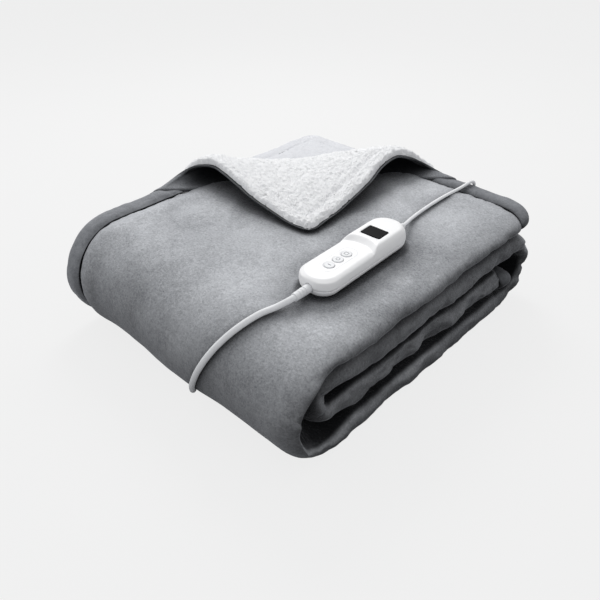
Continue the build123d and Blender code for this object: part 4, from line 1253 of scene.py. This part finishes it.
def build_lead_cable():
    line = catmull(LEAD_PATH, step=2.2)
    lead = cable("lead_cable_sheath", line, LEAD_RADIUS, sides=18)
    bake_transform(lead, "throw", "lead_coupler", start=(0.08, 0.17, 0.117), end=(0.06, 0.184, 0.088))
    # the last stretch goes over from the throw to the coupler
    length = path_lengths(line)
    places = vertex_places(lead.data) * 1000
    nearest = np.array([np.argmin(((line - place) ** 2).sum(1)) for place in places])
    set_values(lead, "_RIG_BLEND", smooth(length[nearest], length[-1] - 75.0, length[-1] - 20.0))
    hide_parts("lead_cable")


build_mains_cable()
build_lead_cable()


# ---------------------------------------------------------------- care label
def build_label():
    """A satin tape hanging at the free long edge."""
    y = np.linspace(-75, -41, 30)[None, :]
    z = np.linspace(101.2, 76.0, 40)[:, None]
    down = np.linspace(0, 1, 40)[:, None]
    x = -159.6 - 1.2 * np.sin(down * 2.2) - 1.0 * down + 0.5 * np.sin(y / 9.0 + down * 2) * down
    middle = np.stack(np.broadcast_arrays(x, y, z), -1)
    normals = grid_normals(middle)
    if normals[20, 15, 0] > 0:
        normals = -normals
    label = slab("care_label_tape", middle, normals, up=0.35, down=0.3,
                 edge=np.full(middle.shape[:2], 9.0), material=SATIN)
    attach(label, "throw")
    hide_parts("care_label")


build_label()


# ---------------------------------------------------------------- floor, light, camera (m)
def floor_material():
    """Pale to the camera, darker to the light it bounces."""
    material, nodes = new_material("pale_floor")
    mottle = nodes.ramp(nodes.noise(scale=6.0), [(0.3, srgb(240)), (0.7, srgb(243))])
    nodes.feed(nodes.surface, {"Base Color": mottle, "Roughness": 0.9,
                               "Specular IOR Level": 0.1})
    seen = nodes.add("LightPath").outputs["Is Camera Ray"]
    dim = nodes.add("BsdfDiffuse", {"Color": (0.30, 0.30, 0.305, 1)})
    choice = nodes.add("MixShader", {0: seen, 1: dim.outputs[0]})
    glow = nodes.add("Emission", {"Color": (*srgb(242.5), 1)})
    pale = nodes.add("MixShader", {0: 0.90, 1: nodes.surface.outputs[0], 2: glow.outputs[0]})
    nodes.feed(choice, {2: pale.outputs[0]})
    nodes.feed(nodes.output, {0: choice.outputs[0]})
    return material


def build_floor():
    material = floor_material()
    half, z = 6, -0.0004
    corners = [(-half, -half, z), (half, -half, z), (half, half, z), (-half, half, z)]
    mesh = bpy.data.meshes.new("floor")
    mesh.from_pydata(corners, [], [(0, 1, 2, 3)])
    floor = bpy.data.objects.new("floor", mesh)
    bpy.context.scene.collection.objects.link(floor)
    mesh.materials.append(material)


def build_world():
    world = bpy.data.worlds.new("studio")
    bpy.context.scene.world = world
    world.use_nodes = True
    nodes = Nodes(world.node_tree)
    seen = nodes.add("LightPath").outputs["Is Camera Ray"]
    light_color, seen_color = (0.60, 0.605, 0.612, 1), (0.87, 0.87, 0.875, 1)
    nodes.feed(world.node_tree.nodes["Background"],
               {"Color": nodes.mix(seen, light_color, seen_color), "Strength": 1.0})


def area_light(name, location, target, size, power, color):
    light = bpy.data.lights.new(name, "AREA")
    light.shape = "DISK"
    light.size = size
    light.energy = power
    light.color = color
    lamp = bpy.data.objects.new(name, light)
    bpy.context.scene.collection.objects.link(lamp)
    lamp.location = location
    direction = Vector(target) - Vector(location)
    lamp.rotation_euler = direction.to_track_quat("-Z", "Y").to_euler()


def build_camera(target, azimuth, elevation, distance, lens):
    """Looks at the target; azimuth is measured from -Y towards +X, angles in degrees."""
    azimuth, elevation = math.radians(azimuth), math.radians(elevation)
    back = Vector((math.sin(azimuth) * math.cos(elevation),
                   -math.cos(azimuth) * math.cos(elevation), math.sin(elevation)))
    data = bpy.data.cameras.new("camera")
    data.sensor_width = 36.0
    data.lens = lens
    data.clip_start = 0.02
    camera = bpy.data.objects.new("camera", data)
    bpy.context.scene.collection.objects.link(camera)
    camera.location = Vector(target) + back * distance
    camera.rotation_euler = (-back).to_track_quat("-Z", "Y").to_euler()
    bpy.context.scene.camera = camera


build_floor()
build_world()
area_light("key", location=(-0.50, 0.42, 0.82), target=(-0.03, 0.02, 0.08), size=0.5,
           power=5.2, color=(1.0, 0.995, 0.985))
area_light("left_fill", location=(-1.15, -0.75, 0.42), target=(-0.05, 0.0, 0.05), size=0.8,
           power=2.6, color=(0.98, 0.99, 1.0))
build_camera(target=(0.0308, -0.0468, 0.050), azimuth=43.4, elevation=35.8, distance=0.6298,
             lens=38.1)
bpy.context.scene.view_settings.view_transform = "Standard"
bpy.context.scene.view_settings.look = "None"

bpy.context.view_layer.update()
